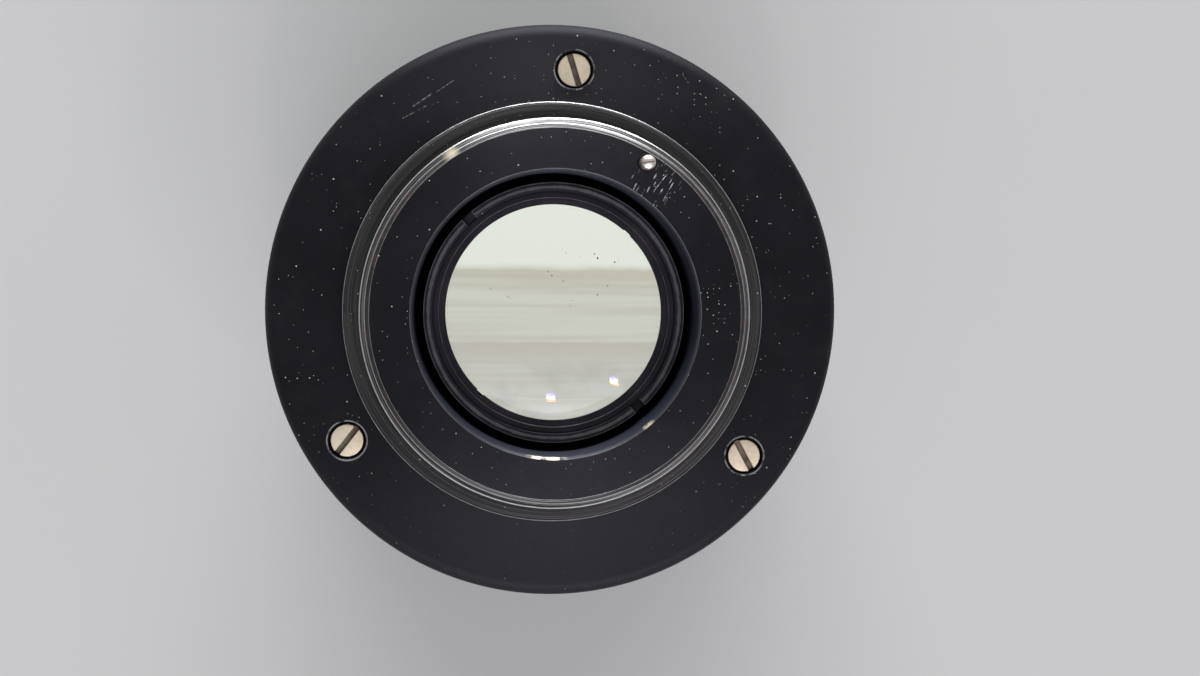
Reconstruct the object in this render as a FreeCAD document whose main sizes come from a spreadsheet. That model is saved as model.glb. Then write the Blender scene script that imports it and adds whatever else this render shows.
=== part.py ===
import FreeCAD, Part
import math
import os
import re
import Sketcher

# A 58 mm f/2 camera lens with a 42 mm screw mount, millimetres.
# It stands on its front rim, mount upwards: the optical axis is Z and the front rim lies at Z = 0.
# At rest it is focused on infinity, the iris is wide open and the stop-down pin stands out.

sizes = {
    # mount plate
    "rim_to_seat": 52.0, "seat_step": 1.2, "flange_thick": 3.0, "flange_round": 1.5,
    "flange_overhang": 0.2, "seat_width": 2.1, "seat_chamfer": 0.3, "seat_groove_width": 0.3,
    "seat_groove_depth": 0.3, "thread_radius": 21.0, "thread_length": 4.4, "relief_depth": 0.7,
    "relief_length": 0.8, "thread_end_chamfer": 1.1, "end_step": 0.1,
    "bore_radius": 15.3, "bore_chamfer": 0.25, "bore_wall": 0.9, "bore_skirt": 10.0,
    "end_wall": 1.6, "sleeve_wall": 1.0, "mount_chamfer": 0.4,
    # mount screws
    "mount_screw_inset": 1.55, "mount_screw_radius": 1.0, "mount_head_radius": 1.8,
    "mount_head_height": 1.3, "counterbore_radius": 2.05, "counterbore_depth": 1.5,
    "mount_slot_width": 0.63, "mount_slot_depth": 0.6, "mount_screw_length": 5.6,
    "screw_one_turn": 85.1, "screw_two_turn": 211.8, "screw_three_turn": 323.0,
    "screw_one_slot": 107.0, "screw_two_slot": 52.0, "screw_three_slot": 118.0,
    # fixed barrel
    "barrel_wall": 2.45, "barrel_rear_step": 1.55, "barrel_rear_wall": 3.85,
    "barrel_front": 14.0, "neck_gap": 0.15, "shoulder_thick": 0.95,
    # rings outside the barrel
    "focus_ring_wall": 4.4, "focus_ring_front": 10.0, "focus_ring_length": 22.0,
    "focus_edge": 1.0, "focus_grip_length": 11.5, "focus_grip_depth": 0.8,
    "focus_rib_count": 42.0, "focus_groove_width": 1.5, "focus_band_step": 0.5,
    "focus_grip_front": 1.5, "focus_grip_rear": 0.5, "band_bevel": 0.8, "band_bevel_length": 1.5,
    "scale_ring_wall": 3.5, "scale_ring_length": 6.0, "scale_ring_bevel": 0.8,
    "aperture_ring_wall": 2.4, "aperture_ring_length": 8.9, "aperture_grip_length": 3.6,
    "aperture_groove_depth": 0.7, "aperture_groove_width": 1.4, "aperture_rib_count": 36.0,
    "aperture_bevel": 0.9, "aperture_bevel_length": 1.4, "aperture_edge": 0.4, "aperture_setback": 0.6,
    "ring_gap": 0.3, "running_gap": 0.05, "touch_gap": 0.1, "screw_end_gap": 0.2,
    # how far a cutter runs past the face that it opens
    "cut_past": 1.0,
    # focusing thread
    "helicoid_radius": 22.5, "helicoid_length": 16.0, "nut_wall": 2.5, "nut_flange_step": 1.2,
    "nut_flange_thick": 1.95, "nut_neck_wall": 1.1, "nut_neck_length": 2.4, "stop_ring_gap": 0.4,
    "stop_ring_thick": 1.2, "stop_lug_height": 1.5, "stop_lug_span": 94.8, "stop_screw_radius": 0.9,
    "stop_screw_turn": 25.0, "stop_screw_reach": 1.0, "stop_screw_sink": 0.1, "helicoid_run": 2.0,
    "grub_radius": 0.8, "grub_length": 3.3, "grub_depth": 1.2, "grub_turn": 0.0,
    "focus_travel": 8.0, "focus_turn_span": 260.0,
    # straight guide keys
    "key_inset": 0.2, "key_thick": 1.8, "key_width": 4.0, "key_front": 15.0, "key_foot_height": 3.8,
    "key_turn": 160.0, "key_screw_radius": 0.8, "key_clearance": 0.06, "key_foot_drop": 0.6,
    "key_foot_gap": 0.15, "key_tap_past": 0.6, "key_screw_sink": 0.1, "key_groove_run": 0.5,
    # front of the optical unit
    "filter_ring_wall": 1.0, "filter_ring_length": 11.7, "filter_thread_radius": 26.0,
    "filter_thread_depth": 5.0, "filter_thread_length": 3.8, "filter_lead": 0.4, "filter_edge": 0.3,
    "filter_relief": 0.35, "filter_relief_length": 0.6,
    "collar_wall": 1.5, "name_ring_bore": 16.9, "name_ring_radius": 25.3,
    "name_ring_edge": 1.1, "name_ring_dish": 2.7, "name_ring_lip": 0.8, "optical_barrel_front": 7.0,
    "front_cell_radius": 18.0, "front_cell_front": 10.0, "front_cell_flange_radius": 19.6,
    "front_cell_flange_thick": 1.5, "front_ring_bore": 15.8, "front_ring_radius": 17.2,
    "doublet_ring_bore": 13.3, "doublet_ring_radius": 15.4, "doublet_ring_height": 1.5,
    "retainer_bevel": 0.6, "glass_seat": 1.4, "front_cell_wall": 1.0,
    # glass, front to rear
    "front_glass_place": 7.2, "glass_one_radius": 16.5, "glass_one_thick": 5.075,
    "curve_one": 32.6, "curve_two": 88.3, "air_one": 0.29,
    "glass_two_radius": 14.0, "glass_two_thick": 7.25, "curve_three": 21.85,
    "glass_three_thick": 2.2, "curve_five": 14.05, "hollow_five": 10.3,
    "stop_before": 9.49, "stop_after": 7.97,
    "curve_seven": 16.46, "hollow_seven": 9.5, "glass_four_radius": 12.4, "glass_four_thick": 2.2,
    "glass_five_thick": 6.38, "curve_nine": 22.0, "air_two": 0.29,
    "curve_ten": 102.9, "glass_six_thick": 4.06, "curve_eleven": 46.1, "glass_six_radius": 12.8,
    # iris
    "iris_wall_radius": 17.1, "iris_inner_radius": 16.5, "iris_plate_thick": 1.2,
    "iris_plate_bore": 9.9, "iris_cover_thick": 0.8, "drive_ring_thick": 1.4,
    "drive_ring_bore": 10.4, "blade_inner": 9.6, "blade_outer": 14.4, "blade_span": 125.0,
    "blade_thick": 0.1, "blade_pitch": 0.2, "blade_pin_place": 15.3, "blade_pin_radius": 0.4,
    "blade_ear": 0.8, "blade_drive_turn": 11.0, "blade_swing": 28.0, "slot_clearance": 0.12,
    "blade_count": 6.0, "blade_start": 10.0, "ear_root": 0.5,
    "tail_inner": 18.2, "tail_outer": 19.4, "tail_width": 1.6, "lug_root": 1.0,
    "window_gap": 0.15, "window_lead": 1.0, "window_tail": 12.0,
    # rear of the optical unit
    "rear_tube_radius": 17.9, "rear_tube_length": 4.6, "rear_cell_thread": 14.6, "rear_cell_radius": 14.3,
    "rear_cell_gap": 0.2,
    "rear_cell_flange": 16.0, "rear_cell_flange_thick": 1.5, "rear_cell_bore": 10.8,
    "rear_cell_rim": 0.6, "rim_slot_width": 1.4, "rim_slot_depth": 0.9, "rim_slot_turn": 131.9,
    "rear_spacer_bore": 11.9, "rear_ring_bore": 11.9, "rear_ring_radius": 13.3,
    "rear_ring_height": 1.1, "rear_ring_step": 0.7, "notch_width": 1.0, "notch_depth": 0.35,
    "notch_turn": 47.3,
    # stop-down pin and crank
    "pin_place": 18.8, "pin_turn": 59.2, "pin_radius": 0.8, "pin_stand": 2.2, "pin_travel": 1.8,
    "pin_collar_radius": 1.1, "pin_collar_height": 1.0, "pin_dome_height": 0.4,
    "spring_radius": 0.95, "spring_wire": 0.14, "spring_turns": 5.0, "spring_seat": 0.02, "wire_sides": 6.0,
    "bracket_thick": 0.8, "bracket_inner": 17.2, "bracket_gap": 0.6, "bracket_span": 64.0,
    "bracket_ear_thick": 0.8, "bracket_ear_width": 3.0, "bracket_screw_inset": 2.2,
    "bracket_screw_radius": 0.7, "bracket_screw_spread": 23.0, "bracket_head_radius": 1.2,
    "bracket_head_height": 0.7, "bracket_thread": 1.7,
    "crank_drop": 2.7, "crank_reach": 4.0, "crank_length": 10.5, "crank_thick": 1.4, "crank_width": 1.4,
    "crank_hub": 1.3, "crank_pin_radius": 0.6, "crank_pin_end": 0.15, "tail_gap": 0.25,
    # preset ring behind the aperture ring, and its click stop
    "preset_front": 40.0, "preset_height": 1.8, "preset_wall": 2.35, "preset_finger_inner": 19.9,
    "preset_finger_width": 3.0, "finger_root": 0.5, "preset_turn": 20.0, "preset_screw_radius": 0.7,
    "preset_screw_turn": 235.0, "preset_screw_sink": 0.3, "preset_play": 2.5,
    "aperture_turn": 48.0, "click_count": 7.0, "click_turn": 275.0, "click_ball_radius": 0.75,
    "click_ball_stand": 0.02, "click_hole_depth": 2.6, "click_setback": 2.0, "click_groove_radius": 0.6,
    "click_groove_length": 2.4, "click_groove_shift": 0.25, "click_spring_radius": 0.6,
    "click_spring_length": 0.95, "click_spring_turns": 3.0,
}

# Places worked out from the sizes above; Z levels count from the front rim.
# The walls follow each other outwards from the focusing thread.
places = {
    "nut_radius": "(helicoid_radius + nut_wall)",
    "nut_neck_radius": "(helicoid_radius + nut_neck_wall)",
    "collar_radius": "(helicoid_radius + collar_wall)",
    "key_outer": "(helicoid_radius - key_inset)",
    "key_inner": "(key_outer - key_thick)",
    "shoulder_bore": "(nut_neck_radius + neck_gap)",
    "barrel_radius": "(nut_radius + running_gap + barrel_wall)",
    "barrel_rear_radius": "(barrel_radius + barrel_rear_step)",
    "barrel_rear_bore": "(barrel_rear_radius - barrel_rear_wall)",
    "nut_flange_radius": "(barrel_radius + nut_flange_step)",
    "stop_ring_radius": "(barrel_rear_bore - stop_ring_gap)",
    "scale_ring_radius": "(barrel_radius + scale_ring_wall)",
    "focus_ring_radius": "(barrel_radius + ring_gap + focus_ring_wall)",
    "aperture_ring_radius": "(barrel_rear_radius + running_gap + aperture_ring_wall)",
    "flange_radius": "(aperture_ring_radius + flange_overhang)",
    "mount_screw_place": "(barrel_rear_bore + mount_screw_inset)",
    "bracket_outer": "(barrel_rear_bore - bracket_gap)",
    "bracket_screw_place": "(barrel_rear_bore - bracket_screw_inset)",
    "preset_radius": "(barrel_rear_bore - running_gap)",
    "preset_inner": "(preset_radius - preset_wall)",
    "filter_ring_radius": "(filter_thread_radius + filter_ring_wall)",
    "seat_radius": "(thread_radius + seat_width)",
    "seat_groove_radius": "(thread_radius + seat_groove_width)",
    "relief_radius": "(thread_radius - relief_depth)",
    "thread_end_radius": "(thread_radius - thread_end_chamfer)",
    "flange_face": "(rim_to_seat - seat_step)",
    "flange_under": "(flange_face - flange_thick)",
    "thread_top": "(rim_to_seat + thread_length)",
    "end_face": "(thread_top + thread_end_chamfer + end_step)",
    "sleeve_bore": "(thread_radius - sleeve_wall)",
    "pocket_top": "(end_face - end_wall)",
    "focus_ring_rear": "(focus_ring_front + focus_ring_length)",
    "focus_grip_start": "(focus_ring_front + focus_grip_front)",
    "focus_grip_end": "(focus_grip_start + focus_grip_length + focus_grip_rear)",
    "scale_ring_front": "(focus_ring_rear + ring_gap)",
    "scale_ring_rear": "(scale_ring_front + scale_ring_length)",
    "aperture_ring_front": "(aperture_ring_rear - aperture_ring_length)",
    "aperture_ring_rear": "(flange_under - ring_gap)",
    "nut_bore": "(helicoid_radius + running_gap)",
    "barrel_front_bore": "(nut_radius + running_gap)",
    "nut_front": "(barrel_front - running_gap - nut_flange_thick)",
    "shoulder_front": "(helicoid_rear + helicoid_run)",
    "helicoid_rear": "(filter_ring_length + helicoid_length + ring_gap)",
    "nut_rear": "(shoulder_front - running_gap)",
    "shoulder_rear": "(shoulder_front + shoulder_thick)",
    "stop_ring_front": "(shoulder_rear + running_gap)",
    "stop_ring_rear": "(stop_ring_front + stop_ring_thick)",
    "stop_screw_height": "(stop_ring_rear + running_gap + stop_screw_radius)",
    "stop_lug_start": "(stop_screw_turn + (360 - stop_lug_span - focus_turn_span) / 2)",
    "grub_seat": "(nut_flange_radius - grub_depth)",
    "key_foot_front": "(flange_under - key_foot_drop - key_foot_height)",
    "key_foot_middle": "(key_foot_front + key_foot_height / 2)",
    "glass_one_rear": "(front_glass_place + glass_one_thick)",
    "glass_two_front": "(glass_one_rear + air_one)",
    "cement_one": "(glass_two_front + glass_two_thick)",
    "glass_three_rear": "(cement_one + glass_three_thick)",
    "stop_plane": "(glass_three_rear + stop_before)",
    "glass_four_front": "(stop_plane + stop_after)",
    "cement_two": "(glass_four_front + glass_four_thick)",
    "glass_five_rear": "(cement_two + glass_five_thick)",
    "glass_six_front": "(glass_five_rear + air_two)",
    "glass_six_rear": "(glass_six_front + glass_six_thick)",
    "edge_one": "(front_glass_place + curve_one - sqrt(curve_one^2 - glass_one_radius^2))",
    "edge_two": "(glass_one_rear + curve_two - sqrt(curve_two^2 - glass_one_radius^2))",
    "edge_three": "(glass_two_front + curve_three - sqrt(curve_three^2 - glass_two_radius^2))",
    "rim_five": "(glass_three_rear + curve_five - sqrt(curve_five^2 - hollow_five^2))",
    "rim_seven": "(glass_four_front - curve_seven + sqrt(curve_seven^2 - hollow_seven^2))",
    "edge_nine": "(glass_five_rear - curve_nine + sqrt(curve_nine^2 - glass_four_radius^2))",
    "edge_ten": "(glass_six_front + curve_ten - sqrt(curve_ten^2 - glass_six_radius^2))",
    "edge_eleven": "(glass_six_rear - curve_eleven + sqrt(curve_eleven^2 - glass_six_radius^2))",
    "ring_one_seat": "(front_glass_place + curve_one - sqrt(curve_one^2 - front_ring_bore^2))",
    "ring_two_seat": "(glass_two_front + curve_three - sqrt(curve_three^2 - doublet_ring_bore^2))",
    "spacer_front": "(glass_five_rear - curve_nine + sqrt(curve_nine^2 - rear_spacer_bore^2))",
    "spacer_rear": "(glass_six_front + curve_ten - sqrt(curve_ten^2 - rear_spacer_bore^2))",
    "ring_six_seat": "(glass_six_rear - curve_eleven + sqrt(curve_eleven^2 - rear_ring_bore^2))",
    "front_cell_rear": "(rim_five + front_cell_wall)",
    "iris_cover_front": "(front_cell_rear + touch_gap)",
    "iris_cover_rear": "(iris_cover_front + iris_cover_thick)",
    "drive_front": "(iris_cover_rear + running_gap)",
    "drive_rear": "(drive_front + drive_ring_thick)",
    "blade_front": "(drive_rear + blade_pitch)",
    "iris_plate_front": "(blade_front + (blade_count + 0.5) * blade_pitch)",
    "iris_plate_rear": "(iris_plate_front + iris_plate_thick)",
    "rear_cell_front": "(iris_plate_rear + rear_cell_gap)",
    "tube_rear": "(rear_cell_front + rear_tube_length)",
    "rear_cell_rear": "(ring_six_seat + rear_ring_height + rear_cell_rim)",
    "pin_top": "(end_face + pin_stand)",
    "bracket_front": "(flange_under - bracket_thick)",
    "crank_place": "(flange_under - crank_drop)",
    "crank_tilt": "(asin(pin_travel / (2 * crank_reach)) / 1 deg)",
    "crank_side": "(pin_place - crank_thick / 2)",
    "crank_contact": "(crank_place + crank_reach * sin(crank_tilt) + crank_width / 2)",
    "pin_bottom": "(crank_contact + touch_gap)",
    "pin_dome": "((pin_radius^2 + pin_dome_height^2) / (2 * pin_dome_height))",
    "collar_rear": "(pocket_top - running_gap)",
    "collar_front": "(collar_rear - pin_collar_height)",
    "crank_turn": "(pin_turn + asin(crank_reach / pin_place) / 1 deg)",
    "tail_side": "(crank_width / 2 + tail_gap)",
    "tail_length": "(crank_place - crank_length + crank_width / 2 + focus_travel + touch_gap - drive_front)",
    "drive_turn": "(asin(2 * crank_length * sin(2 * crank_tilt) / (tail_inner + tail_outer)) / 1 deg)",
    "preset_rear": "(preset_front + preset_height)",
    "preset_middle": "(preset_front + preset_height / 2)",
    "click_height": "(aperture_ring_rear - click_setback)",
}

doc = FreeCAD.newDocument("CameraLens")
sheet = doc.addObject("Spreadsheet::Sheet", "Sizes")
for row, (word, value) in enumerate(sizes.items(), start=1):
    sheet.set("A%d" % row, word)
    sheet.set("B%d" % row, str(value))
    sheet.setAlias("B%d" % row, word)
doc.recompute()

nodes = {}


def sized(text):
    """Write an expression with every named place and size spelt out for the sheet."""
    text = str(text)
    while any(word in places for word in re.findall(r"[a-z]+(?:_[a-z]+)+", text)):
        text = re.sub(r"[a-z]+(?:_[a-z]+)+", lambda found: places.get(found.group(0), found.group(0)), text)
    return re.sub(r"[a-z]+(?:_[a-z]+)+", lambda found: "Sizes." + found.group(0), text)


def number(text):
    """The value of an expression as a plain number."""
    result = sheet.evalExpression(sized(text))
    return float(getattr(result, "Value", result))


def bind(thing, **properties):
    """Tie properties of an object to expressions; two underscores stand for a dot."""
    for prop, text in properties.items():
        thing.setExpression(prop.replace("__", "."), sized(text))
    return thing


def keep(thing, label):
    """Name a finished piece; its label is the name of its node."""
    thing.Label = label
    nodes[label] = thing
    return thing


def plane_of(body, role):
    """One of the origin planes or axes of a body."""
    return [item for item in body.Origin.OriginFeatures if item.Role == role][0]


def closed_sketch(body, name, role, points):
    """A closed outline of lines and arcs; an arc has its radius, minus when it turns clockwise."""
    sketch = body.newObject("Sketcher::SketchObject", name)
    sketch.AttachmentSupport = [(plane_of(body, role), "")]
    sketch.MapMode = "FlatFace"
    spots = [FreeCAD.Vector(number(point[0]), number(point[1]), 0) for point in points]
    pieces = []
    for index, point in enumerate(points):
        start, end = spots[index - 1], spots[index]
        if len(point) == 2:
            pieces.append((sketch.addGeometry(Part.LineSegment(start, end), False), 1, 2))
            continue
        radius = number(point[2])
        chord = end - start
        reach = math.sqrt(max(radius * radius - chord.Length * chord.Length / 4, 0))
        side = FreeCAD.Vector(-chord.y, chord.x, 0).normalize() * math.copysign(reach, radius)
        centre = (start + end) * 0.5 + side
        first, last = (start, end) if radius > 0 else (end, start)
        angles = [math.atan2(spot.y - centre.y, spot.x - centre.x) for spot in (first, last)]
        if angles[1] < angles[0]:
            angles[1] += 2 * math.pi
        circle = Part.Circle(centre, FreeCAD.Vector(0, 0, 1), abs(radius))
        arc = sketch.addGeometry(Part.ArcOfCircle(circle, angles[0], angles[1]), False)
        pieces.append((arc, 1, 2) if radius > 0 else (arc, 2, 1))
    for index, (piece, begin, finish) in enumerate(pieces):
        following = pieces[(index + 1) % len(pieces)]
        sketch.addConstraint(Sketcher.Constraint("Coincident", piece, finish, following[0], following[1]))
        for axis, kind in ((0, "DistanceX"), (1, "DistanceY")):
            spot = spots[index][axis]
            rule = sketch.addConstraint(Sketcher.Constraint(kind, -1, 1, piece, finish, spot))
            sketch.setExpression("Constraints[%d]" % rule, sized(points[index][axis]))
        if len(points[index]) == 3:
            rule = sketch.addConstraint(Sketcher.Constraint("Radius", piece, abs(number(points[index][2]))))
            sketch.setExpression("Constraints[%d]" % rule, "abs(" + sized(points[index][2]) + ")")
    return sketch


def turned(name, points):
    """A body turned about the optical axis from an outline of (radius, height) points."""
    body = doc.addObject("PartDesign::Body", name)
    sketch = closed_sketch(body, name + "Outline", "XZ_Plane", points)
    turn = body.newObject("PartDesign::Revolution", name + "Turn")
    turn.Profile = sketch
    turn.ReferenceAxis = (sketch, ["V_Axis"])
    turn.Angle = 360
    body.Tip = turn
    return body


def tube(name, inner, outer, front, rear):
    """A plain turned ring."""
    return turned(name, [(inner, front), (outer, front), (outer, rear), (inner, rear)])


def round_grooves(body, name, radius, depth, width, front, length, count):
    """Grooves along the outside of a turned ring, repeated about the axis."""
    half = "(%s) / 2" % width
    outside = "(%s) + cut_past" % radius
    floor = "(%s) - (%s)" % (radius, depth)
    sketch = closed_sketch(body, name + "Groove", "XY_Plane",
                           [(floor, "-" + half), (outside, "-" + half), (outside, half), (floor, half)])
    bind(sketch, AttachmentOffset__Base__z=front)
    pocket = body.newObject("PartDesign::Pocket", name + "Pocket")
    pocket.Profile = sketch
    pocket.Reversed = True
    bind(pocket, Length=length)
    pattern = body.newObject("PartDesign::PolarPattern", name + "Pattern")
    pattern.Originals = [pocket]
    pattern.Axis = (plane_of(body, "Z_Axis"), [""])
    pattern.Angle = 360
    bind(pattern, Occurrences=count)
    body.Tip = pattern
    return body


def rod(name, radius, length, place="0", turn="0", height="0", lean=0):
    """A cylinder set at a radius and an angle; lean 0 stands along Z, 90 points outwards."""
    cylinder = doc.addObject("Part::Cylinder", name)
    bind(cylinder, Radius=radius, Height=length)
    return put(cylinder, place, turn, height, lean)


def block(name, length, width, height_size, place, turn, height, aside="0"):
    """A box whose length points outwards from the axis, centred across its width."""
    box = doc.addObject("Part::Box", name)
    bind(box, Length=length, Width=width, Height=height_size)
    return put(box, place, turn, height, 0, "(%s) - (%s) / 2" % (aside, width))


def put(thing, place, turn, height, lean=0, aside="0"):
    """Place a thing at a radius, an angle and a height, moved aside along the circle."""
    upright = FreeCAD.Rotation(FreeCAD.Vector(0, 1, 0), lean)
    spin = FreeCAD.Rotation(FreeCAD.Vector(0, 0, 1), number(turn))
    thing.Placement = FreeCAD.Placement(FreeCAD.Vector(), spin * upright)
    along = {"place": place, "turn": turn, "aside": aside}
    bind(thing,
         Placement__Base__x="(%(place)s) * cos(%(turn)s) - (%(aside)s) * sin(%(turn)s)" % along,
         Placement__Base__y="(%(place)s) * sin(%(turn)s) + (%(aside)s) * cos(%(turn)s)" % along,
         Placement__Base__z=height)
    if lean == 0:
        bind(thing, Placement__Rotation__Angle=turn)
    else:
        whole = "create(<<rotation>>; create(<<vector>>; 0; 0; 1); %s)" % sized(turn)
        lay = "create(<<rotation>>; create(<<vector>>; 0; 1; 0); %g)" % lean
        thing.setExpression("Placement.Rotation", whole + " * " + lay)
    return thing


def joined(name, things):
    """Several solids made one."""
    fuse = doc.addObject("Part::MultiFuse", name)
    fuse.Shapes = things
    fuse.Refine = True
    return fuse


def group(name, things):
    """Several separate solids in one node."""
    bunch = doc.addObject("Part::Compound", name)
    bunch.Links = things
    return bunch


def cut(name, base, tools):
    """One solid less its cutters."""
    result = doc.addObject("Part::Cut", name)
    result.Base = base
    result.Tool = tools[0] if len(tools) == 1 else group(name + "Cutters", tools)
    return result


def sector(name, inner, outer, front, height, start, span):
    """Part of a ring between two radii, from an angle over a span."""
    whole = doc.addObject("Part::Cylinder", name + "Whole")
    bind(whole, Radius=outer, Height=height, Angle=span)
    put(whole, "0", start, front)
    core = rod(name + "Core", inner, "(%s) + 2 * cut_past" % height, "0", "0", "(%s) - cut_past" % front)
    return cut(name, whole, [core])


def coil_shape(mean, length, turns):
    """A wire wound along Z from the origin; its section has few sides, as fits a spring out of sight."""
    helix = Part.makeHelix(length / turns, length, mean)
    wire = number("spring_wire")
    steps = [2 * math.pi * step / number("wire_sides") for step in range(int(number("wire_sides")) + 1)]
    section = [FreeCAD.Vector(mean + wire * math.cos(step), 0, wire * math.sin(step)) for step in steps]
    return Part.Wire(helix).makePipeShell([Part.makePolygon(section)], True, True)


# Mount plate: flange, raised seat, 42 mm thread and rear face in one turning

mount_profile = [
    ("bore_radius", "end_face - bore_chamfer"),
    ("bore_radius", "end_face - bore_skirt"),
    ("bore_radius + bore_wall", "end_face - bore_skirt"),
    ("bore_radius + bore_wall", "pocket_top"),
    ("sleeve_bore", "pocket_top"),
    ("sleeve_bore", "flange_under"),
    ("flange_radius - mount_chamfer", "flange_under"),
    ("flange_radius", "flange_under + mount_chamfer"),
    ("flange_radius", "flange_face - flange_round"),
    ("flange_radius - flange_round", "flange_face", "flange_round"),
    ("seat_radius", "flange_face"),
    ("seat_radius", "rim_to_seat - seat_chamfer"),
    ("seat_radius - seat_chamfer", "rim_to_seat"),
    ("seat_groove_radius", "rim_to_seat"),
    ("seat_groove_radius", "rim_to_seat - seat_groove_depth"),
    ("relief_radius", "rim_to_seat - seat_groove_depth"),
    ("relief_radius", "rim_to_seat + relief_length"),
    ("thread_radius", "rim_to_seat + relief_length"),
    ("thread_radius", "thread_top"),
    ("thread_end_radius", "thread_top + thread_end_chamfer"),
    ("thread_end_radius", "end_face"),
    ("bore_radius + bore_chamfer", "end_face"),
]
mount_screw_turns = {"One": "screw_one_turn", "Two": "screw_two_turn", "Three": "screw_three_turn"}
mount_slot_turns = {"One": "screw_one_slot", "Two": "screw_two_slot", "Three": "screw_three_slot"}
bracket_screw_turns = {"Left": "(crank_turn + bracket_screw_spread)",
                       "Right": "(crank_turn - bracket_screw_spread)"}
key_turns = {"A": "key_turn", "B": "(key_turn + 180)"}


def mount_plate():
    tools = [rod("PinHole", "pin_radius + running_gap", "end_wall + 2 * cut_past", "pin_place", "pin_turn",
                 "pocket_top - cut_past")]
    for name, turn in mount_screw_turns.items():
        tools.append(rod("Counterbore" + name, "counterbore_radius", "counterbore_depth + cut_past",
                         "mount_screw_place", turn, "flange_face - counterbore_depth"))
        tools.append(rod("Clearance" + name, "mount_screw_radius + running_gap", "flange_thick + cut_past",
                         "mount_screw_place", turn, "flange_under - cut_past"))
    for name, turn in bracket_screw_turns.items():
        tools.append(rod("BracketTap" + name, "bracket_screw_radius",
                         "bracket_thread + screw_end_gap + cut_past", "bracket_screw_place", turn,
                         "flange_under - cut_past"))
    keep(cut("MountPlate", turned("MountTurning", mount_profile), tools), "mount_plate")


def mount_screws():
    made = []
    head_front = "flange_face - counterbore_depth"
    for name, turn in mount_screw_turns.items():
        head = rod("Head" + name, "mount_head_radius", "mount_head_height", "mount_screw_place", turn,
                   head_front)
        shank = rod("Shank" + name, "mount_screw_radius", "mount_screw_length + mount_head_height / 2",
                    "mount_screw_place", turn, head_front + " - mount_screw_length")
        slit = doc.addObject("Part::Box", "Slit" + name)
        bind(slit, Length="2 * (mount_head_radius + cut_past)", Width="mount_slot_width",
             Height="mount_slot_depth + cut_past")
        slot = mount_slot_turns[name]
        slit.Placement = FreeCAD.Placement(FreeCAD.Vector(),
                                           FreeCAD.Rotation(FreeCAD.Vector(0, 0, 1), number(slot)))
        words = {"turn": turn, "slot": slot, "half": "(mount_head_radius + cut_past)",
                 "wide": "(mount_slot_width / 2)"}
        bind(slit,
             Placement__Rotation__Angle=slot,
             Placement__Base__x="mount_screw_place * cos(%(turn)s) - %(half)s * cos(%(slot)s)"
                                " + %(wide)s * sin(%(slot)s)" % words,
             Placement__Base__y="mount_screw_place * sin(%(turn)s) - %(half)s * sin(%(slot)s)"
                                " - %(wide)s * cos(%(slot)s)" % words,
             Placement__Base__z=head_front + " + mount_head_height - mount_slot_depth")
        made.append(cut("MountScrew" + name, joined("Blank" + name, [head, shank]), [slit]))
    keep(group("MountScrews", made), "mount_screws")


# Fixed barrel and what is fastened to it

def fixed_barrel():
    body = turned("BarrelTurning", [
        ("barrel_front_bore", "barrel_front"),
        ("barrel_radius", "barrel_front"),
        ("barrel_radius", "scale_ring_rear"),
        ("barrel_rear_radius", "scale_ring_rear"),
        ("barrel_rear_radius", "flange_under"),
        ("barrel_rear_bore", "flange_under"),
        ("barrel_rear_bore", "shoulder_rear"),
        ("shoulder_bore", "shoulder_rear"),
        ("shoulder_bore", "shoulder_front"),
        ("barrel_front_bore", "shoulder_front"),
    ])
    through = "barrel_rear_radius - barrel_rear_bore + 2 * cut_past"
    inside = "barrel_rear_bore - cut_past"
    tools = []
    for name, turn in mount_screw_turns.items():
        tools.append(rod("Tap" + name, "mount_screw_radius", "mount_screw_length", "mount_screw_place", turn,
                         "flange_face - counterbore_depth - mount_screw_length - screw_end_gap"))
    for name, turn in key_turns.items():
        tools.append(rod("KeyScrewHole" + name, "key_screw_radius", through, inside, turn,
                         "key_foot_middle", 90))
    tools.append(rod("StopScrewHole", "stop_screw_radius", through, inside, "stop_screw_turn",
                     "stop_screw_height", 90))
    tools.append(rod("ClickHole", "click_ball_radius + running_gap", "click_hole_depth + cut_past",
                     "barrel_rear_radius - click_hole_depth", "click_turn", "click_height", 90))
    tools.append(sector("PresetSlot", inside, "barrel_rear_radius + cut_past",
                        "preset_middle - preset_screw_radius - touch_gap",
                        "2 * (preset_screw_radius + touch_gap)", "(preset_screw_turn - preset_play)",
                        "aperture_turn + 2 * preset_play"))
    keep(cut("FixedBarrel", body, tools), "fixed_barrel")


def depth_scale_ring():
    keep(turned("DepthScaleRing", [
        ("barrel_radius", "scale_ring_front"),
        ("scale_ring_radius", "scale_ring_front"),
        ("scale_ring_radius", "scale_ring_rear - scale_ring_bevel"),
        ("scale_ring_radius - scale_ring_bevel", "scale_ring_rear"),
        ("barrel_radius", "scale_ring_rear"),
    ]), "depth_scale_ring")


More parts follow.
